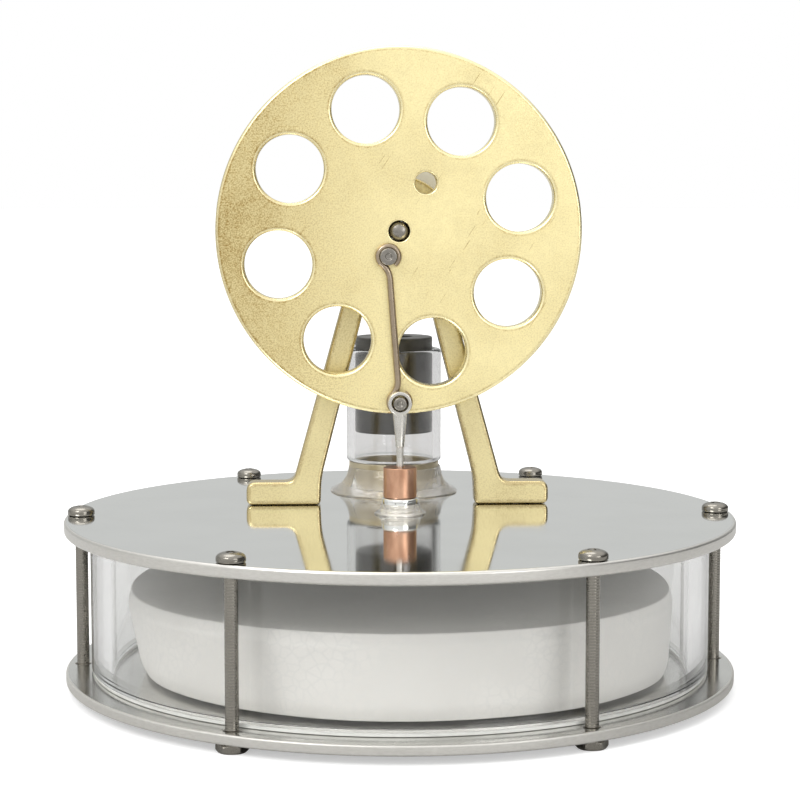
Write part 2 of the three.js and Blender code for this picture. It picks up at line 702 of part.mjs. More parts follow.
function addPiston() {
  const blank = turned(
    [
      [0, -PISTON_LENGTH],
      [PISTON_RADIUS - 0.3, -PISTON_LENGTH],
      [PISTON_RADIUS, -PISTON_LENGTH + 0.3],
      [PISTON_RADIUS, -0.3],
      [PISTON_RADIUS - 0.3, 0],
      [0, 0],
    ],
    MEDIUM,
  );
  const pocket = rod(PISTON_POCKET_RADIUS, -PISTON_POCKET_DEPTH, 1, COARSE);
  const crossHole = alongY(rod(GUDGEON_RADIUS + FIT_GAP, -8, 8, TINY));
  crossHole.translate(0, 0, -GUDGEON_DEPTH);
  const piston = cut(blank, [pocket, crossHole]);
  add('power_piston', piston, graphite, 0, CYLINDER_Y, PISTON_TOP_Z);
  const gudgeonReach = PISTON_RADIUS - 0.5;
  const gudgeon = alongY(rod(GUDGEON_RADIUS, -gudgeonReach, gudgeonReach, TINY));
  add('gudgeon_pin', gudgeon, steel, 0, CYLINDER_Y, GUDGEON_Z);
}

// ---- The engine ----

addChamber();
addTieScrews();
addBracket();
addBearing();
addRodGuide();
addPowerCylinder();
addDisplacer();
addRotor();
addPiston();
addConrod('displacer_conrod', 'crank_pin', CONROD_LENGTH, CONROD_LEAN, CONROD_Y, LOWER_PIN_Z, 0);
addConrod(
  'piston_conrod',
  'conrod_cap_pin',
  PISTON_CONROD_LENGTH,
  PISTON_CONROD_LEAN,
  CYLINDER_Y,
  GUDGEON_Z,
  Math.PI,
);

export default engine;
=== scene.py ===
import json
import math

import bmesh
import bpy
from mathutils import Matrix, Vector, noise


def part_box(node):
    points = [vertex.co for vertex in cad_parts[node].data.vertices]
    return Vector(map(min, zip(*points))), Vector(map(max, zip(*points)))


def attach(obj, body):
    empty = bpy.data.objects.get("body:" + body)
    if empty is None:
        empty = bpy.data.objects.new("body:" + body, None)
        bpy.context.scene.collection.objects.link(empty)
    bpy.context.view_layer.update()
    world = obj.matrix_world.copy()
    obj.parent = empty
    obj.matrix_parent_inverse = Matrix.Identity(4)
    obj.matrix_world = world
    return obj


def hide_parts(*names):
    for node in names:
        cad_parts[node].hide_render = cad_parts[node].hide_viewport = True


# A display stirling engine: polished plates round a clear chamber with a foam displacer, a glass power
# cylinder behind, and a brass flywheel on a brass bracket. Every visible piece is built here in fine
# mesh, in metres, where its node of the frame is.

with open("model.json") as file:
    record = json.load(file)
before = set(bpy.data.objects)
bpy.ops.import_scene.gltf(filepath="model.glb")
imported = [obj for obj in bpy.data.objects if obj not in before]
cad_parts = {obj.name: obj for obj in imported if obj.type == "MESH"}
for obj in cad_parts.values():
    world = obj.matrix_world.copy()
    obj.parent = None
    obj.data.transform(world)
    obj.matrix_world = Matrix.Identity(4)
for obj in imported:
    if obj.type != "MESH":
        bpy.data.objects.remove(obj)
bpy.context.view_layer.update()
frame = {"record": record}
scene = bpy.context.scene

MM = 0.001
body_of = {n: body for body, nodes in frame["record"]["behaviour"]["bodies"].items() for n in nodes}

# ---- Sizes of the details, beside those that the frame gives ----

TOP_PLATE_RIM = 0.4 * MM  # how far a plate's outer edge is rounded
BOTTOM_PLATE_RIM = 0.3 * MM
PLATE_HOLE_EDGE = 0.22 * MM
RING_WALL = 3 * MM
SEAL_WALL = 2.6 * MM
FOOT_HOLE_RADIUS = 1.1 * MM
GUIDE_HOLE_RADIUS = 1.75 * MM
PASSAGE_RADIUS = 4.5 * MM

SCREW_HOLE_RADIUS = 1.15 * MM
THREAD_PITCH = 0.4 * MM
THREAD_DEPTH = 0.035 * MM
THREAD_RADIUS = 0.95 * MM
THREAD_TAPER = 0.7  # of the radius, at the screw's lower end
RECESS_DEPTH = 0.8 * MM
NUT_BORE_RADIUS = 1.02 * MM
NUT_CHAMFER = 0.32 * MM

WHEEL_EDGE = 0.5 * MM
WHEEL_HOLES = {"count": 8, "radius": 5.1 * MM, "circle": 18.8 * MM, "start": math.radians(15.4)}
TIMING_HOLE = {"x": 4 * MM, "z": 7.2 * MM, "radius": 1.65 * MM}
CRANK_HOLE_RADIUS = 0.8 * MM
SHAFT_RADIUS = 1.45 * MM
SHAFT_DOME = 0.75 * MM
DISC_PIN_HOLE_RADIUS = 0.93 * MM

BRACKET_EDGE = 0.5 * MM
BRACKET_FOOT_HEIGHT = 3.5 * MM
BRACKET_HEEL = 11.9 * MM  # from the middle to a foot's inner end
BOSS_RADIUS = 8.4 * MM
FOOT_SCREW = {"radius": 0.9 * MM, "head_height": 1 * MM, "slot": (2.6 * MM, 0.5 * MM)}
BEARING_RADIUS = 5 * MM
OUTER_RACE_RADIUS = 4.1 * MM
INNER_RACE_RADIUS = 2.4 * MM
BALL_RADIUS = 0.7 * MM
SHIELD_STEP = 0.12 * MM

GUIDE_BORE_RADIUS = 0.75 * MM
GUIDE_SPIGOT_RADIUS = 1.6 * MM
COLLAR_BORE_RADIUS = 6.2 * MM
GLASS_WALL = 1.25 * MM
GLUE_GAP = 0.06 * MM  # between the glue and what it is glued to

FOAM_BORE_RADIUS = 2.1 * MM
FOAM_RECESS = {"radius": 4.0 * MM, "depth": 1.0 * MM}
FOAM_WAVER = 0.25 * MM
FOAM_SHIFT = 0.8 * MM  # of its foot, to the right
HUB_STEM_RADIUS = 1.9 * MM
HUB_FLANGE = 0.8 * MM
HUB_BORE_RADIUS = 0.62 * MM
HEAD_FOOT_RADIUS = 0.62 * MM  # of the rod head's stem, at its lower end
HEAD_SPREAD = 0.55  # how much wider the stem gets towards its eye, across
EYE_BORE_RADIUS = 1.2 * MM
EYE_HALF = 0.7 * MM  # half the thickness of the rod head's eye
PIN_RADIUS = 0.55 * MM

WIRE_RADIUS = 0.5 * MM
EYE_RADIUS = 1.5 * MM  # middle of the wire in a con-rod's eye
EYE_PIN_RADIUS = 0.9 * MM
PISTON_POCKET = {"radius": 3 * MM, "depth": 7.5 * MM}

# ---- Places that the frame gives ----


def middle(node):
    low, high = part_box(node)
    return (low + high) / 2


def size(node):
    low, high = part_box(node)
    return high - low


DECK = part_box("top_plate")[1].z
AXIS = middle("flywheel")
CRANK_PIN = middle("crank_pin")
DISPLACER_PIN = middle("displacer_pin")
GUDGEON = middle("gudgeon_pin")
CYLINDER = middle("power_cylinder")
PISTON_CRANK_PIN = middle("piston_crank_pin")

# ---- Mesh helpers ----


def rounded(corners, steps=4):
    """Points of a closed outline. A corner is (a, b, cut): it is cut back that far and bridged by a curve."""
    points = []
    for i, (a, b, cut) in enumerate(corners):
        corner = Vector((a, b))
        if cut == 0:
            points.append(corner)
            continue
        before = Vector(corners[i - 1][:2])
        after = Vector(corners[(i + 1) % len(corners)][:2])
        enter = corner + (before - corner).normalized() * cut
        leave = corner + (after - corner).normalized() * cut
        for step in range(steps + 1):
            t = step / steps
            points.append(enter * (1 - t) ** 2 + corner * 2 * t * (1 - t) + leave * t**2)
    return points


def circle(radius, count=64, x=0.0, y=0.0):
    turns = (2 * math.pi * i / count for i in range(count))
    return [Vector((x + radius * math.cos(a), y + radius * math.sin(a))) for a in turns]


def bridge(bm, low, high):
    """Faces between two rings of vertices. Either ring may be a single point."""
    count = max(len(low), len(high))
    for i in range(count):
        j = (i + 1) % count
        corners = [low[i % len(low)], low[j % len(low)], high[j % len(high)], high[i % len(high)]]
        corners = list(dict.fromkeys(corners))
        if len(corners) > 2:
            bm.faces.new(corners)


def piece_from(name, bm, sharp=math.radians(38)):
    """A smooth object from a bmesh. Edges that turn by more than sharp stay crisp."""
    bmesh.ops.recalc_face_normals(bm, faces=bm.faces)
    for face in bm.faces:
        face.smooth = True
    for edge in bm.edges:
        edge.smooth = not edge.is_manifold or edge.calc_face_angle() < sharp
    mesh = bpy.data.meshes.new(name)
    bm.to_mesh(mesh)
    bm.free()
    piece = bpy.data.objects.new(name, mesh)
    scene.collection.objects.link(piece)
    shading = piece.modifiers.new("even_shading", "WEIGHTED_NORMAL")
    shading.keep_sharp = True
    return piece


def add_lathe(bm, outline, segments, closed, radius_at=None):
    """Turns an outline of (radius, height) points about Z. radius_at may make the turning uneven."""
    rings = []
    for radius, height in outline:
        if radius < 1e-7:
            rings.append([bm.verts.new((0, 0, height))])
            continue
        ring = []
        for i in range(segments):
            angle = 2 * math.pi * i / segments
            r = radius_at(radius, height, angle) if radius_at else radius
            ring.append(bm.verts.new((r * math.cos(angle), r * math.sin(angle), height)))
        rings.append(ring)
    if closed:
        rings.append(rings[0])
    for low, high in zip(rings, rings[1:]):
        bridge(bm, low, high)


def lathe(name, outline, segments=96, closed=False, radius_at=None):
    bm = bmesh.new()
    add_lathe(bm, outline, segments, closed, radius_at)
    return piece_from(name, bm)


def turned_tube(name, inner, outer, bottom, top, cut, segments=96):
    corners = [(inner, bottom, cut), (outer, bottom, cut), (outer, top, cut), (inner, top, cut)]
    return lathe(name, rounded(corners), segments, closed=True)


def outward(points):
    """The outward direction at each point of an anticlockwise outline, longer at corners."""
    directions = []
    for i, point in enumerate(points):
        before = (point - points[i - 1]).normalized()
        after = (points[(i + 1) % len(points)] - point).normalized()
        side = Vector((before.y + after.y, -before.x - after.x)).normalized()
        directions.append(side / max(0.5, side.dot(Vector((after.y, -after.x)))))
    return directions


def pulled_in(points, inset):
    """The outline moved in by inset. Where that would make it fold, its points are gathered into one."""
    moved = [point - side * inset for point, side in zip(points, outward(points))]
    count = len(points)
    for _ in range(6):
        folds = []
        for i in range(count):
            after = (i + 1) % count
            folds.append((moved[after] - moved[i]).dot(points[after] - points[i]) < -1e-12)
        if not any(folds):
            break
        for i in range(count):
            if folds[i] and not folds[i - 1]:
                run = [i]
                while folds[run[-1] % count] and len(run) < count:
                    run.append(run[-1] + 1)
                meeting = sum((moved[k % count] for k in run), Vector((0, 0))) / len(run)
                for k in run:
                    moved[k % count] = meeting
    return moved


def slab(name, outline, holes, thickness, edge, steps=4):
    """A flat piece from z = 0 up, with holes, each a pair of its points and how far its edges are rounded.

    The attribute "edge" is 1 on the rounded edges and 0 on the faces.
    """
    bm = bmesh.new()
    mark = bm.verts.layers.float.new("edge")
    turns = [math.pi / 2 * i / steps for i in range(1, steps + 1)]
    caps = {-1: [], 1: []}
    for away, points, cut in [(1, outline, edge), *((-1, *hole) for hole in holes)]:
        lower = [(cut * (1 - math.sin(t)), cut * (1 - math.cos(t)), 1.0) for t in turns]
        lower = [(1.7 * cut, 0.0, 0.0), (cut, 0.0, 0.4), *lower]
        upper = [(inset, thickness - height, edge_wear_and_shade) for inset, height, edge_wear_and_shade in reversed(lower)]
        rings = []
        for inset, height, edge_wear_and_shade in lower + upper:
            ring = []
            for at in pulled_in(points, inset * away):
                if ring and (ring[-1].co.xy - at).length < 1e-7:
                    ring.append(ring[-1])
                    continue
                vertex = bm.verts.new((at.x, at.y, height))
                vertex[mark] = edge_wear_and_shade
                ring.append(vertex)
            rings.append(ring)
        for low, high in zip(rings, rings[1:]):
            bridge(bm, low, high)
        for facing, ring in ((-1, rings[0]), (1, rings[-1])):
            loop = zip(ring, ring[1:] + ring[:1])
            caps[facing] += [bm.edges.get(ends) for ends in loop if ends[0] != ends[1]]
    for facing, edges in caps.items():
        bmesh.ops.triangle_fill(bm, use_beauty=True, edges=edges, normal=(0, 0, facing))
    return piece_from(name, bm)


def carve(piece, *cutters):
    """Cuts other pieces out of a piece, and removes them."""
    for cutter in cutters:
        cutter.modifiers.clear()
        cut = piece.modifiers.new("cut", "BOOLEAN")
        cut.object = cutter
        cut.solver = "EXACT"
        piece.modifiers.move(len(piece.modifiers) - 1, 0)
    bpy.context.view_layer.update()
    kept = [m.name for m in piece.modifiers if m.type != "BOOLEAN"]
    for name in kept:
        piece.modifiers[name].show_viewport = False
    carved = bpy.data.meshes.new_from_object(piece.evaluated_get(bpy.context.evaluated_depsgraph_get()))
    for name in kept:
        piece.modifiers[name].show_viewport = True
    for modifier in [m for m in piece.modifiers if m.type == "BOOLEAN"]:
        piece.modifiers.remove(modifier)
    piece.data = carved
    bm = bmesh.new()
    bm.from_mesh(carved)
    bmesh.ops.remove_doubles(bm, verts=bm.verts, dist=1e-6)
    for face in bm.faces:
        face.smooth = True
    for edge in bm.edges:
        edge.smooth = not edge.is_manifold or edge.calc_face_angle() < math.radians(30)
    bm.to_mesh(carved)
    bm.free()
    for cutter in cutters:
        bpy.data.objects.remove(cutter)
    return piece


def stand(piece, node, material, at=(0, 0, 0), turn=(0, 0, 0)):
    """Puts a piece in place, in its material, moving with its CAD node's body and shown instead of it."""
    piece.location = at
    piece.rotation_euler = turn
    piece.data.materials.clear()
    piece.data.materials.append(material)
    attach(piece, body_of[node])
    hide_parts(node)
    return piece


ALONG_Y = (-math.pi / 2, 0, 0)  # turns +Z to +Y, so that what was at z goes to y
FACING_FRONT = (math.pi / 2, 0, 0)  # turns +Z to -Y and +Y to +Z

# ---- Materials ----


def node(tree, kind, inputs=None, **settings):
    made = tree.nodes.new("ShaderNode" + kind)
    for name, value in settings.items():
        setattr(made, name, value)
    for name, value in (inputs or {}).items():
        if isinstance(value, bpy.types.NodeSocket):
            tree.links.new(value, made.inputs[name])
        else:
            made.inputs[name].default_value = value
    return made


def material(name, **values):
    """A material with its Principled shader, whose plain values are given by socket name."""
    made = bpy.data.materials.new(name)
    made.use_nodes = True
    shader = made.node_tree.nodes["Principled BSDF"]
    for socket, value in values.items():
        shader.inputs[socket.replace("_", " ")].default_value = value
    return made, made.node_tree, shader


def place_on(tree, stretch=(1, 1, 1), turn=0.0):
    """Coordinates of the piece itself, in millimetres, turned about its Z axis and stretched."""
    spot = node(tree, "TexCoord").outputs["Object"]
    turned = node(tree, "Mapping", {"Vector": spot, "Rotation": (0, 0, turn)}).outputs["Vector"]
    scale = tuple(s / MM for s in stretch)
    return node(tree, "Mapping", {"Vector": turned, "Scale": scale}).outputs["Vector"]


def grain(tree, size_mm, detail=3.0, stretch=(1, 1, 1), roughness=0.5, turn=0.0):
    """Noise with features of about that size, from 0 to 1."""
    spot = place_on(tree, stretch, turn)
    inputs = {"Vector": spot, "Scale": 1 / size_mm, "Detail": detail, "Roughness": roughness}
    return node(tree, "TexNoise", inputs).outputs["Fac"]


def ramp(tree, value, low, high, to_low=0.0, to_high=1.0):
    inputs = {"Value": value, "From Min": low, "From Max": high, "To Min": to_low, "To Max": to_high}
    return node(tree, "MapRange", inputs, interpolation_type="SMOOTHSTEP").outputs["Result"]


def combine(tree, operation, a, b):
    made = node(tree, "Math", operation=operation, use_clamp=True)
    for socket, value in zip(made.inputs, (a, b)):
        if isinstance(value, bpy.types.NodeSocket):
            tree.links.new(value, socket)
        else:
            socket.default_value = value
    return made.outputs[0]


def blend_colour(tree, factor, first, second):
    """A colour between two colours or colour sockets."""
    made = node(tree, "Mix", data_type="RGBA")
    ends = {"Factor_Float": factor, "A_Color": first, "B_Color": second}
    for identifier, value in ends.items():
        socket = next(s for s in made.inputs if s.identifier == identifier)
        if isinstance(value, bpy.types.NodeSocket):
            tree.links.new(value, socket)
        elif identifier == "Factor_Float":
            socket.default_value = value
        else:
            socket.default_value = (*value, 1.0)
    return next(s for s in made.outputs if s.identifier == "Result_Color")


def bump(tree, shader, height, strength, depth_mm):
    inputs = {"Height": height, "Strength": strength, "Distance": depth_mm * MM}
    tree.links.new(node(tree, "Bump", inputs).outputs["Normal"], shader.inputs["Normal"])


def edge_mask(tree):
    return node(tree, "Attribute", attribute_name="edge").outputs["Fac"]


def brass(name, pale, tarnish_and_shade_colour, edge_wear_and_shade, tarnish_left=(-41, -40), scratched=False):
    """Satin brass with fine grain and soft tan patina. The colour given for its rounded edges is rubbed wear
    where it is light and painted shade where it is dark. A thin dark line where the edges start to round is
    painted shade.

    The patina grows towards -X between the two places in tarnish_left.
    """
    made, tree, shader = material(name, Metallic=1.0)
    patches = ramp(tree, grain(tree, 10, 3.0), 0.42, 0.75, 0.0, 0.16)
    mottle = grain(tree, 0.8, 4.0, roughness=0.6)
    speckle = grain(tree, 0.22, 2.0)
    across = node(tree, "SeparateXYZ", {"Vector": place_on(tree)}).outputs["X"]
    leftness = ramp(tree, across, *tarnish_left, 0.50, 0.0)
    clouds = combine(tree, "ADD", patches, leftness)
    clouds = combine(tree, "MULTIPLY", clouds, ramp(tree, mottle, 0.32, 0.68, 0.82, 1.15))
    fine = combine(tree, "MULTIPLY", clouds, ramp(tree, speckle, 0.3, 0.7, 0.65, 1.3))
    fine = combine(tree, "ADD", fine, ramp(tree, speckle, 0.4, 0.7, 0.0, 0.17))
    edge = edge_mask(tree)
    edge_band = ramp(tree, edge, 0.5, 0.95)
    # A thin dark line painted where the rounded edges start: painted shade.
    shade_line_band = combine(tree, "SUBTRACT", ramp(tree, edge, 0.05, 0.4), edge_band)
    painted_shade_line = combine(tree, "MULTIPLY", shade_line_band, ramp(tree, mottle, 0.35, 0.65, 0.1, 0.4))
    # Patina, speckle and the painted shade line together.
    tarnish_and_shade = combine(tree, "ADD", fine, painted_shade_line)
    height = combine(tree, "MULTIPLY", speckle, 0.5)
    if scratched:
        lines = grain(tree, 1, 0.0, stretch=(5, 0.2, 1), turn=math.radians(33))
        apart = ramp(tree, grain(tree, 7, 0.0), 0.6, 0.67)
        scratches = combine(tree, "MULTIPLY", ramp(tree, lines, 0.76, 0.8), apart)
        tarnish_and_shade = combine(tree, "ADD", tarnish_and_shade, combine(tree, "MULTIPLY", scratches, 0.45))
        height = combine(tree, "SUBTRACT", height, combine(tree, "MULTIPLY", scratches, 0.5))
    colour = blend_colour(tree, tarnish_and_shade, pale, tarnish_and_shade_colour)
    # The rounded edges take the edge colour: rubbed wear on the wheel, painted shade on the bracket.
    colour = blend_colour(tree, combine(tree, "MULTIPLY", edge_band, 0.5), colour, edge_wear_and_shade)
    tree.links.new(colour, shader.inputs["Base Color"])
    face_roughness = ramp(tree, mottle, 0.3, 0.7, 0.34, 0.46)
    roughness = combine(tree, "SUBTRACT", face_roughness, combine(tree, "MULTIPLY", edge_band, 0.12))
    tree.links.new(roughness, shader.inputs["Roughness"])
    bump(tree, shader, combine(tree, "ADD", height, combine(tree, "MULTIPLY", mottle, 0.4)), 0.3, 0.04)
    return made


def aluminium(name, pale, smudged, roughness):
    """Polished sheet with faint rolling lines and smudges, duller at its cut edges."""
    made, tree, shader = material(name, Metallic=1.0)
    smudges = grain(tree, 12, 4.0)
    lines = grain(tree, 0.9, 3.0, stretch=(0.05, 1, 1))
    speckle = grain(tree, 0.3, 2.0)
    streaks = grain(tree, 0.4, 3.0, stretch=(0.5, 0.5, 2))
    edge = edge_mask(tree)
    wide, small = ramp(tree, smudges, 0.35, 0.7, 0, 0.7), ramp(tree, speckle, 0.4, 0.7, 0, 0.3)
    face = blend_colour(tree, combine(tree, "ADD", wide, small), pale, smudged)
    rim = blend_colour(tree, ramp(tree, streaks, 0.3, 0.7), (0.66, 0.645, 0.61), (0.61, 0.595, 0.56))
    tree.links.new(blend_colour(tree, edge, face, rim), shader.inputs["Base Color"])
    face_roughness = ramp(tree, smudges, 0.3, 0.75, roughness, 2 * roughness)
    edge_roughness = combine(tree, "MULTIPLY", edge, 0.3)
    tree.links.new(combine(tree, "ADD", face_roughness, edge_roughness), shader.inputs["Roughness"])
    on_edge = combine(tree, "MULTIPLY", edge, combine(tree, "MULTIPLY", streaks, 0.12))
    bump(tree, shader, combine(tree, "ADD", combine(tree, "MULTIPLY", lines, 0.12), on_edge), 0.25, 0.02)
    return made


def steel(name, light, dark, roughness, stretch=(1, 1, 1)):
    """Bright or drawn steel, with fine marks drawn out along one axis."""
    made, tree, shader = material(name, Metallic=1.0)
    marks = grain(tree, 0.4, 4.0, stretch=stretch, roughness=0.65)
    clouds = grain(tree, 2.5, 3.0)
    fine, wide = ramp(tree, marks, 0.3, 0.75, 0, 0.35), ramp(tree, clouds, 0.35, 0.75, 0, 0.3)
    colour = blend_colour(tree, combine(tree, "ADD", fine, wide), light, dark)
    tree.links.new(colour, shader.inputs["Base Color"])
    tree.links.new(ramp(tree, marks, 0.3, 0.7, roughness - 0.07, roughness + 0.1), shader.inputs["Roughness"])
    bump(tree, shader, marks, 0.06, 0.01)
    return made


def copper():
    """Turned copper with fine rings round its axis and a few darker stains."""
    made, tree, shader = material("turned_copper", Metallic=1.0)
    rings = grain(tree, 0.12, 2.0, stretch=(0.02, 0.02, 1))
    stains = grain(tree, 1.4, 4.0, stretch=(1, 1, 0.35))
    colour = blend_colour(tree, ramp(tree, stains, 0.35, 0.8), (0.66, 0.39, 0.26), (0.40, 0.21, 0.13))
    tree.links.new(colour, shader.inputs["Base Color"])
    tree.links.new(ramp(tree, stains, 0.3, 0.7, 0.26, 0.42), shader.inputs["Roughness"])
    bump(tree, shader, rings, 0.3, 0.02)
    return made


def foam():
    """White expanded foam: fused beads a millimetre or so across, with shallow seams and pits."""
    made, tree, shader = material("white_foam", Roughness=0.92)
    spot = place_on(tree)
    beads = node(tree, "TexVoronoi", {"Vector": spot, "Scale": 0.7}, feature="DISTANCE_TO_EDGE")
    seams = ramp(tree, beads.outputs["Distance"], 0.0, 0.12)
    fine = grain(tree, 0.3, 3.0)
    clouds = grain(tree, 11, 3.0)
    clean, dusty = (0.90, 0.885, 0.85), (0.85, 0.835, 0.80)
    plain = blend_colour(tree, ramp(tree, clouds, 0.3, 0.7), clean, dusty)
    tree.links.new(blend_colour(tree, seams, (0.85, 0.84, 0.81), plain), shader.inputs["Base Color"])
    height = combine(tree, "ADD", combine(tree, "MULTIPLY", seams, 0.2), combine(tree, "MULTIPLY", fine, 0.6))
    bump(tree, shader, height, 0.25, 0.05)
    return made


def dull(name, light, dark, roughness, mark_mm, stretch, metallic=0.0):
    """A matt dark material, such as rubber or turned graphite, with faint marks."""
    made, tree, shader = material(name, Metallic=metallic)
    marks = grain(tree, mark_mm, 4.0, stretch=stretch)
    clouds = grain(tree, 3, 3.0)
    tree.links.new(blend_colour(tree, ramp(tree, clouds, 0.3, 0.7), light, dark), shader.inputs["Base Color"])
    tree.links.new(ramp(tree, marks, 0.3, 0.7, roughness - 0.08, roughness + 0.1), shader.inputs["Roughness"])
    bump(tree, shader, marks, 0.3, 0.03)
    return made


def clear(name, tint, ior, roughness, transmission=1.0, relief=None):
    """Clear plastic, glass or glue. Light from lamps goes straight through, so that what it holds is lit."""
    made, tree, shader = material(name, IOR=ior)
    shader.inputs["Base Color"].default_value = (*tint, 1.0)
    shader.inputs["Roughness"].default_value = roughness
    shader.inputs["Transmission Weight"].default_value = transmission
    if relief:
        size_mm, depth_mm = relief
        bump(tree, shader, grain(tree, size_mm, 3.0), 0.5, depth_mm)
    path = node(tree, "LightPath").outputs["Is Shadow Ray"]
    through = node(tree, "BsdfTransparent", {"Color": (*tint, 1.0)}).outputs["BSDF"]
    mixed = node(tree, "MixShader", {"Fac": path})
    tree.links.new(shader.outputs["BSDF"], mixed.inputs[1])
    tree.links.new(through, mixed.inputs[2])
    tree.links.new(mixed.outputs["Shader"], tree.nodes["Material Output"].inputs["Surface"])
    return made


PALE_BRASS = (0.97, 0.855, 0.475)
TAN_BRASS = (0.36, 0.24, 0.075)
ALUMINIUM = aluminium("polished_aluminium", (0.84, 0.845, 0.83), (0.79, 0.795, 0.78), 0.045)
SATIN_ALUMINIUM = aluminium("satin_aluminium", (0.74, 0.735, 0.71), (0.60, 0.595, 0.57), 0.13)
DISC_ALUMINIUM = aluminium("turned_aluminium", (0.92, 0.915, 0.90), (0.86, 0.855, 0.84), 0.3)
WHEEL_BRASS = brass("wheel_brass", PALE_BRASS, TAN_BRASS, (0.93, 0.84, 0.54), (-28, 4), True)
# The bracket's rounded edges are painted dark brown: painted shade.
BRACKET_BRASS = brass("bracket_brass", (0.81, 0.71, 0.40), (0.30, 0.20, 0.075), (0.34, 0.25, 0.12))
COLLAR_BRASS = brass("collar_brass", (0.60, 0.53, 0.38), (0.24, 0.18, 0.10), (0.50, 0.43, 0.30))
STEEL = steel("bright_steel", (0.66, 0.64, 0.60), (0.40, 0.38, 0.35), 0.24)
DARK_STEEL = steel("dark_steel", (0.30, 0.28, 0.25), (0.15, 0.14, 0.125), 0.3)
# The tie screws and nuts get steel darkened all over, standing for the shade their shanks show: painted
# shade.
SHADED_SCREW_STEEL = steel("shaded_screw_steel", (0.27, 0.255, 0.225), (0.21, 0.195, 0.17), 0.2)
WIRE = steel("drawn_wire", (0.42, 0.34, 0.25), (0.20, 0.155, 0.11), 0.27, (1, 1, 0.1))
COPPER = copper()
FOAM = foam()
SILICONE = dull("seal_silicone", (0.76, 0.76, 0.73), (0.66, 0.66, 0.63), 0.45, 0.5, (1, 1, 1))
GRAPHITE = dull("graphite", (0.085, 0.082, 0.073), (0.05, 0.048, 0.042), 0.42, 0.25, (0.05, 0.05, 1), 0.35)
ACRYLIC = clear("clear_acrylic", (0.935, 0.935, 0.93), 1.49, 0.0)
GLASS = clear("cylinder_glass", (0.92, 0.915, 0.915), 1.5, 0.0)
GLUE = clear("clear_glue", (0.95, 0.93, 0.89), 1.45, 0.07, 0.88, relief=(1.3, 0.5))

# ---- Chamber: plates, ring and seals ----


def round_plate(name, node_name, holes, rim):
    radius = size(node_name).x / 2
    return slab(name, circle(radius, 256), holes, size(node_name).z, rim, 5)


def screw_holes():
    holes = []
    for i in range(1, 7):
        at = middle(f"tie_nut_{i}")
        holes.append((circle(SCREW_HOLE_RADIUS, 24, at.x, at.y), PLATE_HOLE_EDGE))
    return holes


def build_chamber():
    low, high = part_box("top_plate")
    foot_holes = []
    for side in ("left", "right"):
        at = middle(f"foot_screw_{side}")
        foot_holes.append((circle(FOOT_HOLE_RADIUS, 24, at.x, at.y), PLATE_HOLE_EDGE))
    guide_hole = (circle(GUIDE_HOLE_RADIUS, 32), PLATE_HOLE_EDGE)
    passage = (circle(PASSAGE_RADIUS, 48, CYLINDER.x, CYLINDER.y), PLATE_HOLE_EDGE)
    holes = [*screw_holes(), *foot_holes, guide_hole, passage]
    top = round_plate("top_plate_fine", "top_plate", holes, TOP_PLATE_RIM)
    stand(top, "top_plate", ALUMINIUM, (0, 0, low.z))

    bottom = round_plate("bottom_plate_fine", "bottom_plate", screw_holes(), BOTTOM_PLATE_RIM)
    stand(bottom, "bottom_plate", SATIN_ALUMINIUM, (0, 0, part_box("bottom_plate")[0].z))

    low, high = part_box("chamber_ring")
    ring = turned_tube("chamber_ring_fine", high.x - RING_WALL, high.x, low.z, high.z, 0.15 * MM, 256)
    stand(ring, "chamber_ring", ACRYLIC)
    for seal in ("lower_seal", "upper_seal"):
        low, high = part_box(seal)
        band = turned_tube(f"{seal}_fine", high.x - SEAL_WALL, high.x, low.z, high.z, 0.12 * MM, 192)
        stand(band, seal, SILICONE)


# ---- Tie screws and nuts ----


def add_thread(bm, radius, bottom, top, segments=20, rows_per_turn=5):
    """A helical thread from bottom to top, tapered at its lower end."""
    rows = round((top - bottom) / THREAD_PITCH * rows_per_turn)
    rings = [[bm.verts.new((0, 0, bottom))]]
    for row in range(rows + 1):
        height = bottom + (top - bottom) * row / rows
        taper = min(1.0, THREAD_TAPER + (height - bottom) / (0.6 * MM) * (1 - THREAD_TAPER))
        ring = []
        for i in range(segments):
            phase = (row / rows_per_turn - i / segments) % 1.0
            crest = abs(2 * phase - 1)
            r = (radius - THREAD_DEPTH * (1 - crest)) * taper
            angle = 2 * math.pi * i / segments
            ring.append(bm.verts.new((r * math.cos(angle), r * math.sin(angle), height)))
        rings.append(ring)
    rings.append([bm.verts.new((0, 0, top))])
    for low, high in zip(rings, rings[1:]):
        bridge(bm, low, high)


def tapered_blade(name, top_size, bottom_size, top, depth):
    bm = bmesh.new()
    loops = []
    for (length, width), height in ((bottom_size, top - depth), (top_size, top + 0.3 * MM)):
        half = (length / 2, width / 2)
        corners = ((-1, -1), (1, -1), (1, 1), (-1, 1))
        loops.append([bm.verts.new((sx * half[0], sy * half[1], height)) for sx, sy in corners])
    bridge(bm, *loops)
    bm.faces.new(loops[0])
    bm.faces.new(loops[1])
    return piece_from(name, bm)


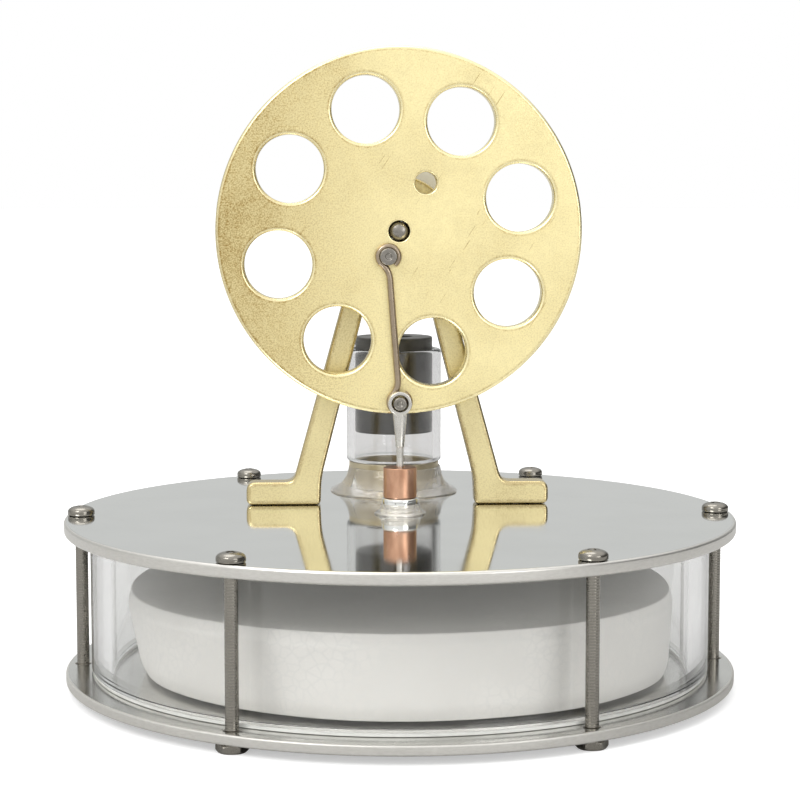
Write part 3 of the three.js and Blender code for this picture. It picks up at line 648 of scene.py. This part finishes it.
def screw_mesh():
    """A pan-head screw with a cross recess. Its head stands on z = 0."""
    low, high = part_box("tie_screw_1")
    head_radius = size("tie_screw_1").x / 2
    head_top = high.z - DECK
    arc = []
    for step in range(9):
        t = math.pi / 2 * step / 8
        arc.append(Vector((head_radius * math.cos(t) ** 0.8, head_top * (0.42 + 0.58 * math.sin(t)))))
    foot = 0.05 * MM
    cut = 0.12 * MM
    flat = [Vector((0, foot)), Vector((head_radius - cut, foot)), Vector((head_radius, foot + cut))]
    outline = [*flat, *arc]
    outline[-1].x = 0
    head = lathe("screw_head", outline, 64)
    wide, narrow = (2.0 * MM, 0.55 * MM), (0.9 * MM, 0.32 * MM)
    blades = [tapered_blade(f"blade_{k}", wide, narrow, head_top, RECESS_DEPTH) for k in range(2)]
    blades[1].rotation_euler.z = math.pi / 2
    carve(head, *blades)
    bm = bmesh.new()
    bm.from_mesh(head.data)
    bpy.data.objects.remove(head)
    add_thread(bm, THREAD_RADIUS, low.z - DECK, 0.3 * MM)
    return bm


def nut_mesh():
    """A hexagonal nut from z = 0 up. Its corners are chamfered at both ends."""
    thickness = size("tie_nut_1").z
    flat = size("tie_nut_1").y / 2
    corner = flat / math.cos(math.pi / 6)
    heights = [0, *(NUT_CHAMFER * k / 4 for k in range(1, 5))]
    heights += [thickness - h for h in reversed(heights)]
    segments = 96
    bm = bmesh.new()
    rings = []
    for height in heights:
        cone = flat * 0.97 + (corner - flat * 0.97) * min(height, thickness - height) / NUT_CHAMFER
        ring = []
        for i in range(segments):
            angle = 2 * math.pi * i / segments
            to_flat = (angle % (math.pi / 3)) - math.pi / 6
            r = min(cone, flat / math.cos(to_flat))
            ring.append(bm.verts.new((r * math.cos(angle), r * math.sin(angle), height)))
        rings.append(ring)
    for height in (thickness, 0):
        for radius, shift in ((NUT_BORE_RADIUS + 0.15 * MM, 0), (NUT_BORE_RADIUS, 0.15 * MM)):
            level = height + (shift if height == 0 else -shift)
            ring = [bm.verts.new((p.x * radius, p.y * radius, level)) for p in circle(1, segments)]
            rings.append(ring)
    rings[-2], rings[-1] = rings[-1], rings[-2]
    rings.append(rings[0])
    for low, high in zip(rings, rings[1:]):
        bridge(bm, low, high)
    return bm


def build_tie_screws():
    screw = piece_from("screw_pattern", screw_mesh(), math.radians(50))
    nut = piece_from("nut_pattern", nut_mesh(), math.radians(25))
    for i in range(1, 7):
        at = middle(f"tie_nut_{i}")
        for pattern, kind, height, turn in ((screw, "tie_screw", DECK, 0.8 * i), (nut, "tie_nut", 0, 0)):
            piece = pattern.copy()
            piece.name = f"{kind}_{i}_fine"
            piece.data = pattern.data.copy()
            piece.data.transform(Matrix.Rotation(turn, 4, "Z"))
            scene.collection.objects.link(piece)
            stand(piece, f"{kind}_{i}", SHADED_SCREW_STEEL, (at.x, at.y, height))
    for pattern in (screw, nut):
        bpy.data.objects.remove(pattern)


# ---- Bracket, its foot screws and the bearing ----


def crossing(start, end, centre, radius):
    """Where the line from start towards end first meets a circle."""
    along = (end - start).normalized()
    to_centre = centre - start
    reach = to_centre.dot(along)
    return start + along * (reach - math.sqrt(radius**2 - (to_centre - along * reach).length ** 2))


def bracket_outline():
    """The bracket's outline about the crankshaft's foot point: feet, legs and the boss in one line."""
    low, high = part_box("bracket")
    shaft = AXIS.z - low.z
    boss = Vector((0, shaft))
    toe, heel, foot = high.x, BRACKET_HEEL, BRACKET_FOOT_HEIGHT
    outer_low, outer_high = Vector((16.1 * MM, foot)), Vector((5.4 * MM, shaft))
    inner_low, inner_high = Vector((11.75 * MM, 4.2 * MM)), Vector((2.6 * MM, shaft - 2 * MM))
    outer = crossing(outer_low, outer_high, boss, BOSS_RADIUS)
    inner = crossing(inner_low, inner_high, boss, BOSS_RADIUS)
    start, end = math.atan2(outer.y - shaft, outer.x), math.atan2(inner.y - shaft, inner.x)
    right = [
        (inner.x, inner.y, 0.5 * MM),
        (*inner_low, 1.5 * MM),
        (heel, 0, 0.7 * MM),
        (toe, 0, 1.0 * MM),
        (toe, foot, 1.4 * MM),
        (*outer_low, 1.4 * MM),
        (outer.x, outer.y, 0.5 * MM),
    ]
    over = []
    for k in range(1, 60):
        angle = start + (math.pi - 2 * start) * k / 60
        over.append((BOSS_RADIUS * math.cos(angle), shaft + BOSS_RADIUS * math.sin(angle), 0))
    left = [(-x, y, cut) for x, y, cut in reversed(right)]
    under = []
    for k in range(1, 16):
        angle = -math.pi - end + (math.pi + 2 * end) * k / 16
        under.append((BOSS_RADIUS * math.cos(angle), shaft + BOSS_RADIUS * math.sin(angle), 0))
    return rounded([*right, *over, *left, *under], 6)


def build_bracket():
    low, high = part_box("bracket")
    bore = (circle(BEARING_RADIUS + 0.03 * MM, 96, 0, AXIS.z - low.z), 0.3 * MM)
    piece = slab("bracket_fine", bracket_outline(), [bore], high.y - low.y, BRACKET_EDGE, 5)
    stand(piece, "bracket", BRACKET_BRASS, (0, high.y, low.z), FACING_FRONT)
    for side in ("left", "right"):
        name = f"foot_screw_{side}"
        low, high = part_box(name)
        at = (low + high) / 2
        length = high.z - low.z
        head = (high.x - low.x) / 2
        shank = FOOT_SCREW["radius"]
        corners = [
            (0, 0, 0),
            (head, 0, 0.08 * MM),
            (shank, FOOT_SCREW["head_height"], 0.1 * MM),
            (shank, length, 0.2 * MM),
            (0, length, 0),
        ]
        screw = lathe(f"{name}_fine", rounded(corners), 48)
        slot = FOOT_SCREW["slot"]
        blade = tapered_blade(f"{name}_slot", slot, slot, 0.45 * MM, 0.8 * MM)
        stand(carve(screw, blade), name, STEEL, (at.x, at.y, low.z))


def build_bearing():
    low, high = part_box("bearing_outer_ring")
    centre = (low + high) / 2
    half = (high.y - low.y) / 2
    rings = {
        "bearing_outer_ring": (OUTER_RACE_RADIUS, BEARING_RADIUS),
        "bearing_inner_ring": (SHAFT_RADIUS + 0.08 * MM, INNER_RACE_RADIUS),
    }
    for name, (inner, outer) in rings.items():
        ring = turned_tube(f"{name}_fine", inner, outer, -half, half, 0.2 * MM)
        stand(ring, name, STEEL, centre, ALONG_Y)
    for i in range(1, 8):
        name = f"bearing_ball_{i}"
        bm = bmesh.new()
        bmesh.ops.create_icosphere(bm, subdivisions=3, radius=BALL_RADIUS)
        stand(piece_from(f"{name}_fine", bm), name, STEEL, middle(name))
    for side in ("front", "rear"):
        name = f"bearing_shield_{side}"
        inner, outer = INNER_RACE_RADIUS + 0.25 * MM, OUTER_RACE_RADIUS - 0.05 * MM
        thick = size(name).y / 2
        step = SHIELD_STEP if side == "front" else -SHIELD_STEP
        pressed = (inner + outer) / 2
        corners = [
            (inner, -thick, 0.05 * MM),
            (pressed, -thick, 0.1 * MM),
            (pressed + 0.2 * MM, -thick + max(0, step), 0.1 * MM),
            (outer, -thick + max(0, step), 0.05 * MM),
            (outer, thick + min(0, step), 0.05 * MM),
            (pressed + 0.2 * MM, thick + min(0, step), 0.1 * MM),
            (pressed, thick, 0.1 * MM),
            (inner, thick, 0.05 * MM),
        ]
        shield = lathe(f"{name}_fine", rounded(corners, 3), 96, closed=True)
        stand(shield, name, STEEL, middle(name), ALONG_Y)


# ---- Rod guide and power cylinder, with their glue ----


def uneven(seed, amount, reach):
    """A radius that wanders by up to amount at the foot of a glue fillet, and less higher up."""

    def radius_at(radius, height, angle):
        spot = Vector((math.cos(angle) * 1.7, math.sin(angle) * 1.7, height / reach * 0.8 + seed))
        fade = max(0.0, 1 - height / reach)
        return radius + amount * noise.noise(spot) * (0.35 + 0.65 * fade)

    return radius_at


def glue_outline(inner, spread, height, foot=GLUE_GAP):
    """A concave fillet of glue round a foot, from its wide base up to a thin edge."""
    thin = 0.14 * MM
    curve = []
    for step in range(15):
        t = step / 14
        sag = 0.25 * (1 - t) + 0.75 * (1 - t) ** 3
        curve.append(Vector((inner + thin + (spread - thin) * sag, foot + thin + (height - 2 * thin) * t)))
    base = [Vector((inner, foot)), Vector((inner + spread, foot))]
    return [*base, *curve, Vector((inner, foot + height))]


def build_guide():
    low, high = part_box("guide_collar")
    radius = (high.x - low.x) / 2
    corners = [
        (GUIDE_BORE_RADIUS, low.z - DECK, 0.1 * MM),
        (GUIDE_SPIGOT_RADIUS, low.z - DECK, 0.1 * MM),
        (GUIDE_SPIGOT_RADIUS, 0.05 * MM, 0),
        (radius, 0.05 * MM, 0.1 * MM),
        (radius, high.z - DECK, 0.45 * MM),
        (GUIDE_BORE_RADIUS, high.z - DECK, 0.1 * MM),
    ]
    collar = lathe("guide_collar_fine", rounded(corners), 96, closed=True)
    stand(collar, "guide_collar", ALUMINIUM, (0, 0, DECK))
    low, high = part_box("guide_bush")
    bush = turned_tube("guide_bush_fine", GUIDE_BORE_RADIUS, high.x, low.z - DECK, high.z - DECK, 0.16 * MM)
    stand(bush, "guide_bush", COPPER, (0, 0, DECK))
    low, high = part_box("guide_glue")
    inner = radius + GLUE_GAP
    outline = glue_outline(inner, high.x - inner - 0.25 * MM, high.z - DECK - GLUE_GAP)
    fillet = lathe("guide_glue_fine", outline, 96, True, uneven(3.1, 0.5 * MM, high.z - DECK))
    stand(fillet, "guide_glue", GLUE, (0, 0, DECK))


def build_cylinder():
    low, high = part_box("cylinder_collar")
    foot = (CYLINDER.x, CYLINDER.y, DECK)
    radius = (high.x - low.x) / 2
    bottom, top = low.z - DECK, high.z - DECK
    collar = turned_tube("cylinder_collar_fine", COLLAR_BORE_RADIUS, radius, bottom, top, 0.2 * MM, 128)
    stand(collar, "cylinder_collar", COLLAR_BRASS, foot)
    low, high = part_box("power_cylinder")
    outer = (high.x - low.x) / 2
    lip = GLASS_WALL * 0.45
    bottom, top = low.z - DECK, high.z - DECK
    tube = turned_tube("power_cylinder_fine", outer - GLASS_WALL, outer, bottom, top, lip, 160)
    stand(tube, "power_cylinder", GLASS, foot)
    low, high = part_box("cylinder_glue")
    inner = radius + GLUE_GAP
    spread = (high.x - low.x) / 2 - inner - 0.5 * MM
    outline = glue_outline(inner, spread, high.z - DECK - GLUE_GAP)
    fillet = lathe("cylinder_glue_fine", outline, 128, True, uneven(7.7, 0.9 * MM, high.z - DECK))
    stand(fillet, "cylinder_glue", GLUE, foot)


# ---- Displacer with its hub, rod, head and pin ----


def build_displacer():
    low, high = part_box("displacer")
    radius, thick = high.x, high.z - low.z
    recess, recess_floor = FOAM_RECESS["radius"], thick - FOAM_RECESS["depth"]
    corners = [
        (FOAM_BORE_RADIUS, 0, 0),
        (radius - 1.9 * MM, 0, 0.25 * MM),
        (radius - 1.2 * MM, 1.5 * MM, 1.0 * MM),
        (radius, thick - 1.8 * MM, 0.5 * MM),
        (radius - 0.5 * MM, thick, 0.25 * MM),
        (recess, thick, 0.2 * MM),
        (recess, recess_floor, 0),
        (FOAM_BORE_RADIUS, recess_floor, 0),
    ]

    def hand_cut(r, height, angle):
        """The side of the disc wavers a little, as cut by hand, and its foot is shifted to the right."""
        if r < 0.9 * radius:
            return r
        sway = noise.noise(Vector((math.cos(angle) * 2.3, math.sin(angle) * 2.3, 0.6 * height / thick)))
        shift = FOAM_SHIFT * math.cos(angle) * max(0.0, 1 - height / (0.7 * thick))
        return r + FOAM_WAVER * (sway - 0.6) + shift

    disc = lathe("displacer_fine", rounded(corners, 6), 256, True, hand_cut)
    stand(disc, "displacer", FOAM, (0, 0, low.z))

    low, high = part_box("displacer_hub")
    flange, top = high.x, high.z - low.z
    corners = [
        (HUB_BORE_RADIUS, 0, 0),
        (HUB_STEM_RADIUS, 0, 0.15 * MM),
        (HUB_STEM_RADIUS, top - HUB_FLANGE, 0),
        (flange, top - HUB_FLANGE, 0.1 * MM),
        (flange, top, 0.25 * MM),
        (HUB_BORE_RADIUS, top, 0.1 * MM),
    ]
    hub = lathe("displacer_hub_fine", rounded(corners), 96, True)
    stand(hub, "displacer_hub", ALUMINIUM, (0, 0, low.z))

    low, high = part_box("displacer_rod")
    length = high.z - low.z
    corners = [(0, 0, 0), (high.x, 0, 0.12 * MM), (high.x, length, 0.12 * MM), (0, length, 0)]
    stand(lathe("displacer_rod_fine", rounded(corners), 48), "displacer_rod", STEEL, (0, 0, low.z))


def build_rod_head():
    """A tapered stem that swells into a round eye with flat faces, bored for its pin."""
    low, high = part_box("rod_head")
    pin = DISPLACER_PIN.z
    eye = high.z - pin
    foot, neck = low.z - pin, -(EYE_BORE_RADIUS + 0.1 * MM)
    corners = [(0, foot, 0), (HEAD_FOOT_RADIUS, foot, 0.15 * MM), (EYE_HALF, neck, 0), (0, neck, 0)]
    stem = lathe("rod_head_fine", rounded(corners), 64)
    bm = bmesh.new()
    bm.from_mesh(stem.data)
    bpy.data.objects.remove(stem)
    for vertex in bm.verts:
        vertex.co.x *= 1 + HEAD_SPREAD * (vertex.co.z - foot) / (neck - foot)
    disc = turned_tube("eye", EYE_BORE_RADIUS, eye, -EYE_HALF, EYE_HALF, 0.2 * MM, 64)
    disc.data.transform(disc.matrix_world)
    for vertex in disc.data.vertices:
        x, y, z = vertex.co
        vertex.co = (x, z, -y)
    bm.from_mesh(disc.data)
    bpy.data.objects.remove(disc)
    stand(piece_from("rod_head_fine", bm), "rod_head", STEEL, (0, 0, pin))

    low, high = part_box("displacer_pin")
    head = EYE_BORE_RADIUS - 0.2 * MM
    front, back = low.y, high.y
    shoulder = -0.3 * MM
    corners = [
        (0, back, 0),
        (PIN_RADIUS, back, 0.1 * MM),
        (PIN_RADIUS, shoulder, 0),
        (head, shoulder, 0.08 * MM),
        (head, front, 0.25 * MM),
        (0.45 * MM, front, 0.12 * MM),
        (0.3 * MM, front + 0.18 * MM, 0.1 * MM),
        (0, front + 0.18 * MM, 0),
    ]
    pin_piece = lathe("displacer_pin_fine", rounded(corners), 64)
    stand(pin_piece, "displacer_pin", DARK_STEEL, (0, 0, pin), ALONG_Y)


# ---- Con-rods bent from wire ----


def wire_route(length):
    """Middle line of the wire, upright, from the upper eye's free end down to the lower eye's."""
    points = []

    def eye(height, start, end):
        for k in range(37):
            angle = math.radians(start + (end - start) * k / 36)
            points.append(Vector((EYE_RADIUS * math.cos(angle), height + EYE_RADIUS * math.sin(angle))))

    def neck(height, way):
        """A double bend from the eye's left side to the straight. way is -1 below an eye and 1 above it."""
        corner = EYE_RADIUS * math.sqrt(0.5)
        first = Vector((-corner, -corner))
        second = Vector((-corner + 0.6 * MM, -corner - 0.6 * MM))
        third, last = Vector((0, -2.3 * MM)), Vector((0, -3.6 * MM))
        bend = []
        for step in range(1, 11):
            t = step / 10
            near = first * (1 - t) ** 3 + second * 3 * t * (1 - t) ** 2
            at = near + third * 3 * t**2 * (1 - t) + last * t**3
            bend.append(Vector((at.x, height - way * at.y)))
        return bend

    eye(length, -58, 225)
    points.extend(neck(length, -1))
    points.extend(reversed(neck(0, 1)))
    eye(0, 135, 418)
    return points


def bent_wire(name, line, radius, segments=24, cap_steps=4):
    """A round wire along a line in the XZ plane, with cut ends whose edges are rounded."""
    bm = bmesh.new()
    ways = []
    for i in range(len(line)):
        ways.append((line[min(i + 1, len(line) - 1)] - line[max(i - 1, 0)]).normalized())
    stations = []
    round_off = radius * 0.35
    for k in range(cap_steps + 1):
        t = math.pi / 2 * k / cap_steps
        inset = round_off * (1 - math.sin(t))
        back = round_off * math.cos(t)
        stations.append((line[0] - ways[0] * (back - round_off), ways[0], radius - inset))
    stations += [(line[i], ways[i], radius) for i in range(1, len(line) - 1)]
    for k in reversed(range(cap_steps + 1)):
        t = math.pi / 2 * k / cap_steps
        inset = round_off * (1 - math.sin(t))
        back = round_off * math.cos(t)
        stations.append((line[-1] + ways[-1] * (back - round_off), ways[-1], radius - inset))
    rings = [[bm.verts.new((stations[0][0].x, 0, stations[0][0].y))]]
    for at, way, r in stations:
        ring = []
        for i in range(segments):
            angle = 2 * math.pi * i / segments
            side = math.cos(angle) * r
            ring.append(bm.verts.new((at.x - way.y * side, math.sin(angle) * r, at.y + way.x * side)))
        rings.append(ring)
    rings.append([bm.verts.new((stations[-1][0].x, 0, stations[-1][0].y))])
    for low, high in zip(rings, rings[1:]):
        bridge(bm, low, high)
    return piece_from(name, bm)


def headed_pin(name, shank, head, back, shoulder, front):
    """A pin along Y whose round head has a dimple. back, shoulder and front are distances along -Y."""
    dimple = head * 0.42
    corners = [
        (0, back, 0),
        (shank, back, 0.12 * MM),
        (shank, shoulder, 0),
        (head, shoulder, 0.06 * MM),
        (head, front, 0.22 * MM),
        (dimple, front, 0.1 * MM),
        (dimple * 0.7, front - 0.2 * MM, 0.1 * MM),
        (0, front - 0.2 * MM, 0),
    ]
    return lathe(name, rounded(corners), 64)


def build_conrod(node_name, pin_name, foot, top, turned_back):
    reach = top - foot
    length = math.hypot(reach.x, reach.z)
    lean = math.atan2(reach.x, reach.z)
    wire = bent_wire(f"{node_name}_fine", wire_route(length), WIRE_RADIUS)
    at = Vector((foot.x, middle(node_name).y, foot.z))
    stand(wire, node_name, WIRE, at, (0, lean, 0))
    low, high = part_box(pin_name)
    reaches = (high.y - at.y, at.y - low.y)
    reach_front, reach_back = reaches if turned_back else reversed(reaches)
    head, shoulder = (high.x - low.x) / 2, WIRE_RADIUS + 0.05 * MM
    pin = headed_pin(f"{pin_name}_fine", EYE_PIN_RADIUS, head, -reach_back, shoulder, reach_front)
    turn = (-math.pi / 2, 0, 0) if turned_back else FACING_FRONT
    stand(pin, pin_name, DARK_STEEL, (top.x, at.y, top.z), turn)


# ---- Rotor: flywheel, shaft, sleeves, crank disc and pin ----


def build_rotor():
    low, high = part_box("flywheel")
    radius = (high.x - low.x) / 2
    holes = [
        (circle(SHAFT_RADIUS + 0.15 * MM, 48), 0.2 * MM),
        (circle(CRANK_HOLE_RADIUS, 24, CRANK_PIN.x - AXIS.x, CRANK_PIN.z - AXIS.z), 0.15 * MM),
        (circle(TIMING_HOLE["radius"], 48, TIMING_HOLE["x"], TIMING_HOLE["z"]), 0.25 * MM),
    ]
    for k in range(WHEEL_HOLES["count"]):
        angle = WHEEL_HOLES["start"] + 2 * math.pi * k / WHEEL_HOLES["count"]
        x, y = WHEEL_HOLES["circle"] * math.cos(angle), WHEEL_HOLES["circle"] * math.sin(angle)
        holes.append((circle(WHEEL_HOLES["radius"], 96, x, y), WHEEL_EDGE))
    wheel = slab("flywheel_fine", circle(radius, 256), holes, high.y - low.y, WHEEL_EDGE, 5)
    stand(wheel, "flywheel", WHEEL_BRASS, (AXIS.x, high.y, AXIS.z), FACING_FRONT)

    low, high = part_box("crankshaft")
    r = SHAFT_RADIUS
    dome = []
    for step in range(13):
        t = math.pi / 2 * step / 12
        dome.append(Vector((r * math.sin(t), low.y + SHAFT_DOME * (1 - math.cos(t)))))
    tail = rounded([(r, low.y + 2 * MM, 0), (r, high.y, 0.15 * MM), (0, high.y, 0)])
    shaft = lathe("crankshaft_fine", [*dome, *tail], 64)
    stand(shaft, "crankshaft", DARK_STEEL, (AXIS.x, 0, AXIS.z), ALONG_Y)

    for name in ("front_sleeve", "rear_sleeve"):
        low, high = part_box(name)
        sleeve = turned_tube(f"{name}_fine", r + 0.06 * MM, (high.x - low.x) / 2, low.y, high.y, 0.12 * MM)
        stand(sleeve, name, ALUMINIUM, (AXIS.x, 0, AXIS.z), ALONG_Y)

    low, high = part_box("crank_disc")
    pin_x, pin_z = PISTON_CRANK_PIN.x - AXIS.x, PISTON_CRANK_PIN.z - AXIS.z
    pin = (circle(DISC_PIN_HOLE_RADIUS, 32, pin_x, pin_z), 0.1 * MM)
    bore = (circle(r + 0.06 * MM, 48), 0.15 * MM)
    disc = slab("crank_disc_fine", circle((high.x - low.x) / 2, 128), [bore, pin], high.y - low.y, 0.3 * MM)
    stand(disc, "crank_disc", DISC_ALUMINIUM, (AXIS.x, high.y, AXIS.z), FACING_FRONT)

    low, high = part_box("piston_crank_pin")
    r = (high.x - low.x) / 2
    corners = [(0, low.y, 0), (r, low.y, 0.1 * MM), (r, high.y, 0.25 * MM), (0, high.y, 0)]
    crank = lathe("piston_crank_pin_fine", rounded(corners), 48)
    stand(crank, "piston_crank_pin", STEEL, (PISTON_CRANK_PIN.x, 0, PISTON_CRANK_PIN.z), ALONG_Y)


# ---- Power piston ----


def build_piston():
    low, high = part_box("power_piston")
    radius, length = (high.x - low.x) / 2, high.z - low.z
    pocket, depth = PISTON_POCKET["radius"], PISTON_POCKET["depth"]
    corners = [
        (0, -length, 0),
        (radius, -length, 0.35 * MM),
        (radius, 0, 0.35 * MM),
        (pocket, 0, 0.25 * MM),
        (pocket, -depth, 0.4 * MM),
        (0, -depth, 0),
    ]
    piston = lathe("power_piston_fine", rounded(corners), 128)
    low_pin, high_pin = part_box("gudgeon_pin")
    pin_radius = (high_pin.x - low_pin.x) / 2
    reach = (high_pin.y - low_pin.y) / 2
    side, end = pin_radius + 0.05 * MM, 8 * MM
    hole = lathe("gudgeon_hole", [(0, -end), (side, -end), (side, end), (0, end)], 48)
    hole.rotation_euler = ALONG_Y
    hole.location.z = GUDGEON.z - high.z
    carve(piston, hole)
    stand(piston, "power_piston", GRAPHITE, (CYLINDER.x, CYLINDER.y, high.z))
    corners = [(0, -reach, 0), (pin_radius, -reach, 0.1 * MM), (pin_radius, reach, 0.1 * MM), (0, reach, 0)]
    stand(lathe("gudgeon_pin_fine", rounded(corners), 48), "gudgeon_pin", STEEL, GUDGEON, ALONG_Y)


# ---- Floor, light and camera ----


def build_studio():
    bm = bmesh.new()
    corners = ((-1, -1), (1, -1), (1, 1), (-1, 1))
    bm.faces.new([bm.verts.new((6 * x, 6 * y, 0)) for x, y in corners])
    floor = piece_from("floor", bm)
    paper, tree, shader = material("floor_paper", Roughness=0.9)
    seen = node(tree, "LightPath").outputs["Is Camera Ray"]
    grey, white = (0.56, 0.56, 0.555), (0.75, 0.75, 0.75)
    tree.links.new(blend_colour(tree, seen, grey, white), shader.inputs["Base Color"])
    shader.inputs["Emission Color"].default_value = (1, 1, 1, 1)
    tree.links.new(combine(tree, "MULTIPLY", seen, 0.45), shader.inputs["Emission Strength"])
    floor.data.materials.append(paper)

    world = bpy.data.worlds.new("studio")
    scene.world = world
    world.use_nodes = True
    tree = world.node_tree
    way = node(tree, "SeparateXYZ", {"Vector": node(tree, "TexCoord").outputs["Generated"]})
    behind = ramp(tree, way.outputs["Y"], -0.5, 0.5)
    walls = blend_colour(tree, behind, (1.04, 1.04, 1.03), (0.62, 0.63, 0.62))
    walls = blend_colour(tree, ramp(tree, way.outputs["X"], 0.3, 0.75), walls, (0.16, 0.16, 0.155))
    overhead = ramp(tree, way.outputs["Z"], 0.35, 0.8)
    room = blend_colour(tree, overhead, walls, (1.3, 1.3, 1.3))
    seen = node(tree, "LightPath").outputs["Is Camera Ray"]
    tree.links.new(blend_colour(tree, seen, room, (1.0, 1.0, 1.0)), tree.nodes["Background"].inputs["Color"])

    def lamp(name, at, aim, width, watts):
        light = bpy.data.lights.new(name, "AREA")
        light.shape = "DISK"
        light.size = width
        light.energy = watts
        holder = bpy.data.objects.new(name, light)
        holder.location = at
        holder.rotation_euler = (Vector(aim) - Vector(at)).to_track_quat("-Z", "Y").to_euler()
        scene.collection.objects.link(holder)

    lamp("key_light", (-0.35, -0.45, 0.5), (0, 0, 0.04), 0.3, 1.45)
    lamp("fill_light", (0.4, -0.55, 0.22), (0, 0, 0.02), 0.35, 0.8)
    lamp("top_light", (-0.1, 0.15, 0.7), (0, 0, 0.04), 0.5, 1.2)


def build_camera():
    """The picture is taken from 32 cm, a little to the left and from above the deck."""
    distance, azimuth, above_deck = 0.3213, math.radians(-2.32), 49.3 * MM
    pitch = math.radians(5.72)
    camera = bpy.data.objects.new("camera", bpy.data.cameras.new("camera"))
    camera.data.lens = 97.1
    camera.data.sensor_width = 36
    camera.data.clip_start = 0.01
    camera.location = (distance * math.sin(azimuth), -distance * math.cos(azimuth), DECK + above_deck)
    camera.rotation_euler = (math.pi / 2 - pitch, 0, azimuth)
    scene.collection.objects.link(camera)
    scene.camera = camera


scene.view_settings.view_transform = "Standard"
build_chamber()
build_tie_screws()
build_bracket()
build_bearing()
build_guide()
build_cylinder()
build_displacer()
build_rod_head()
build_conrod("displacer_conrod", "crank_pin", DISPLACER_PIN, CRANK_PIN, False)
build_conrod("piston_conrod", "conrod_cap_pin", GUDGEON, middle("conrod_cap_pin"), True)
build_rotor()
build_piston()
build_studio()
build_camera()
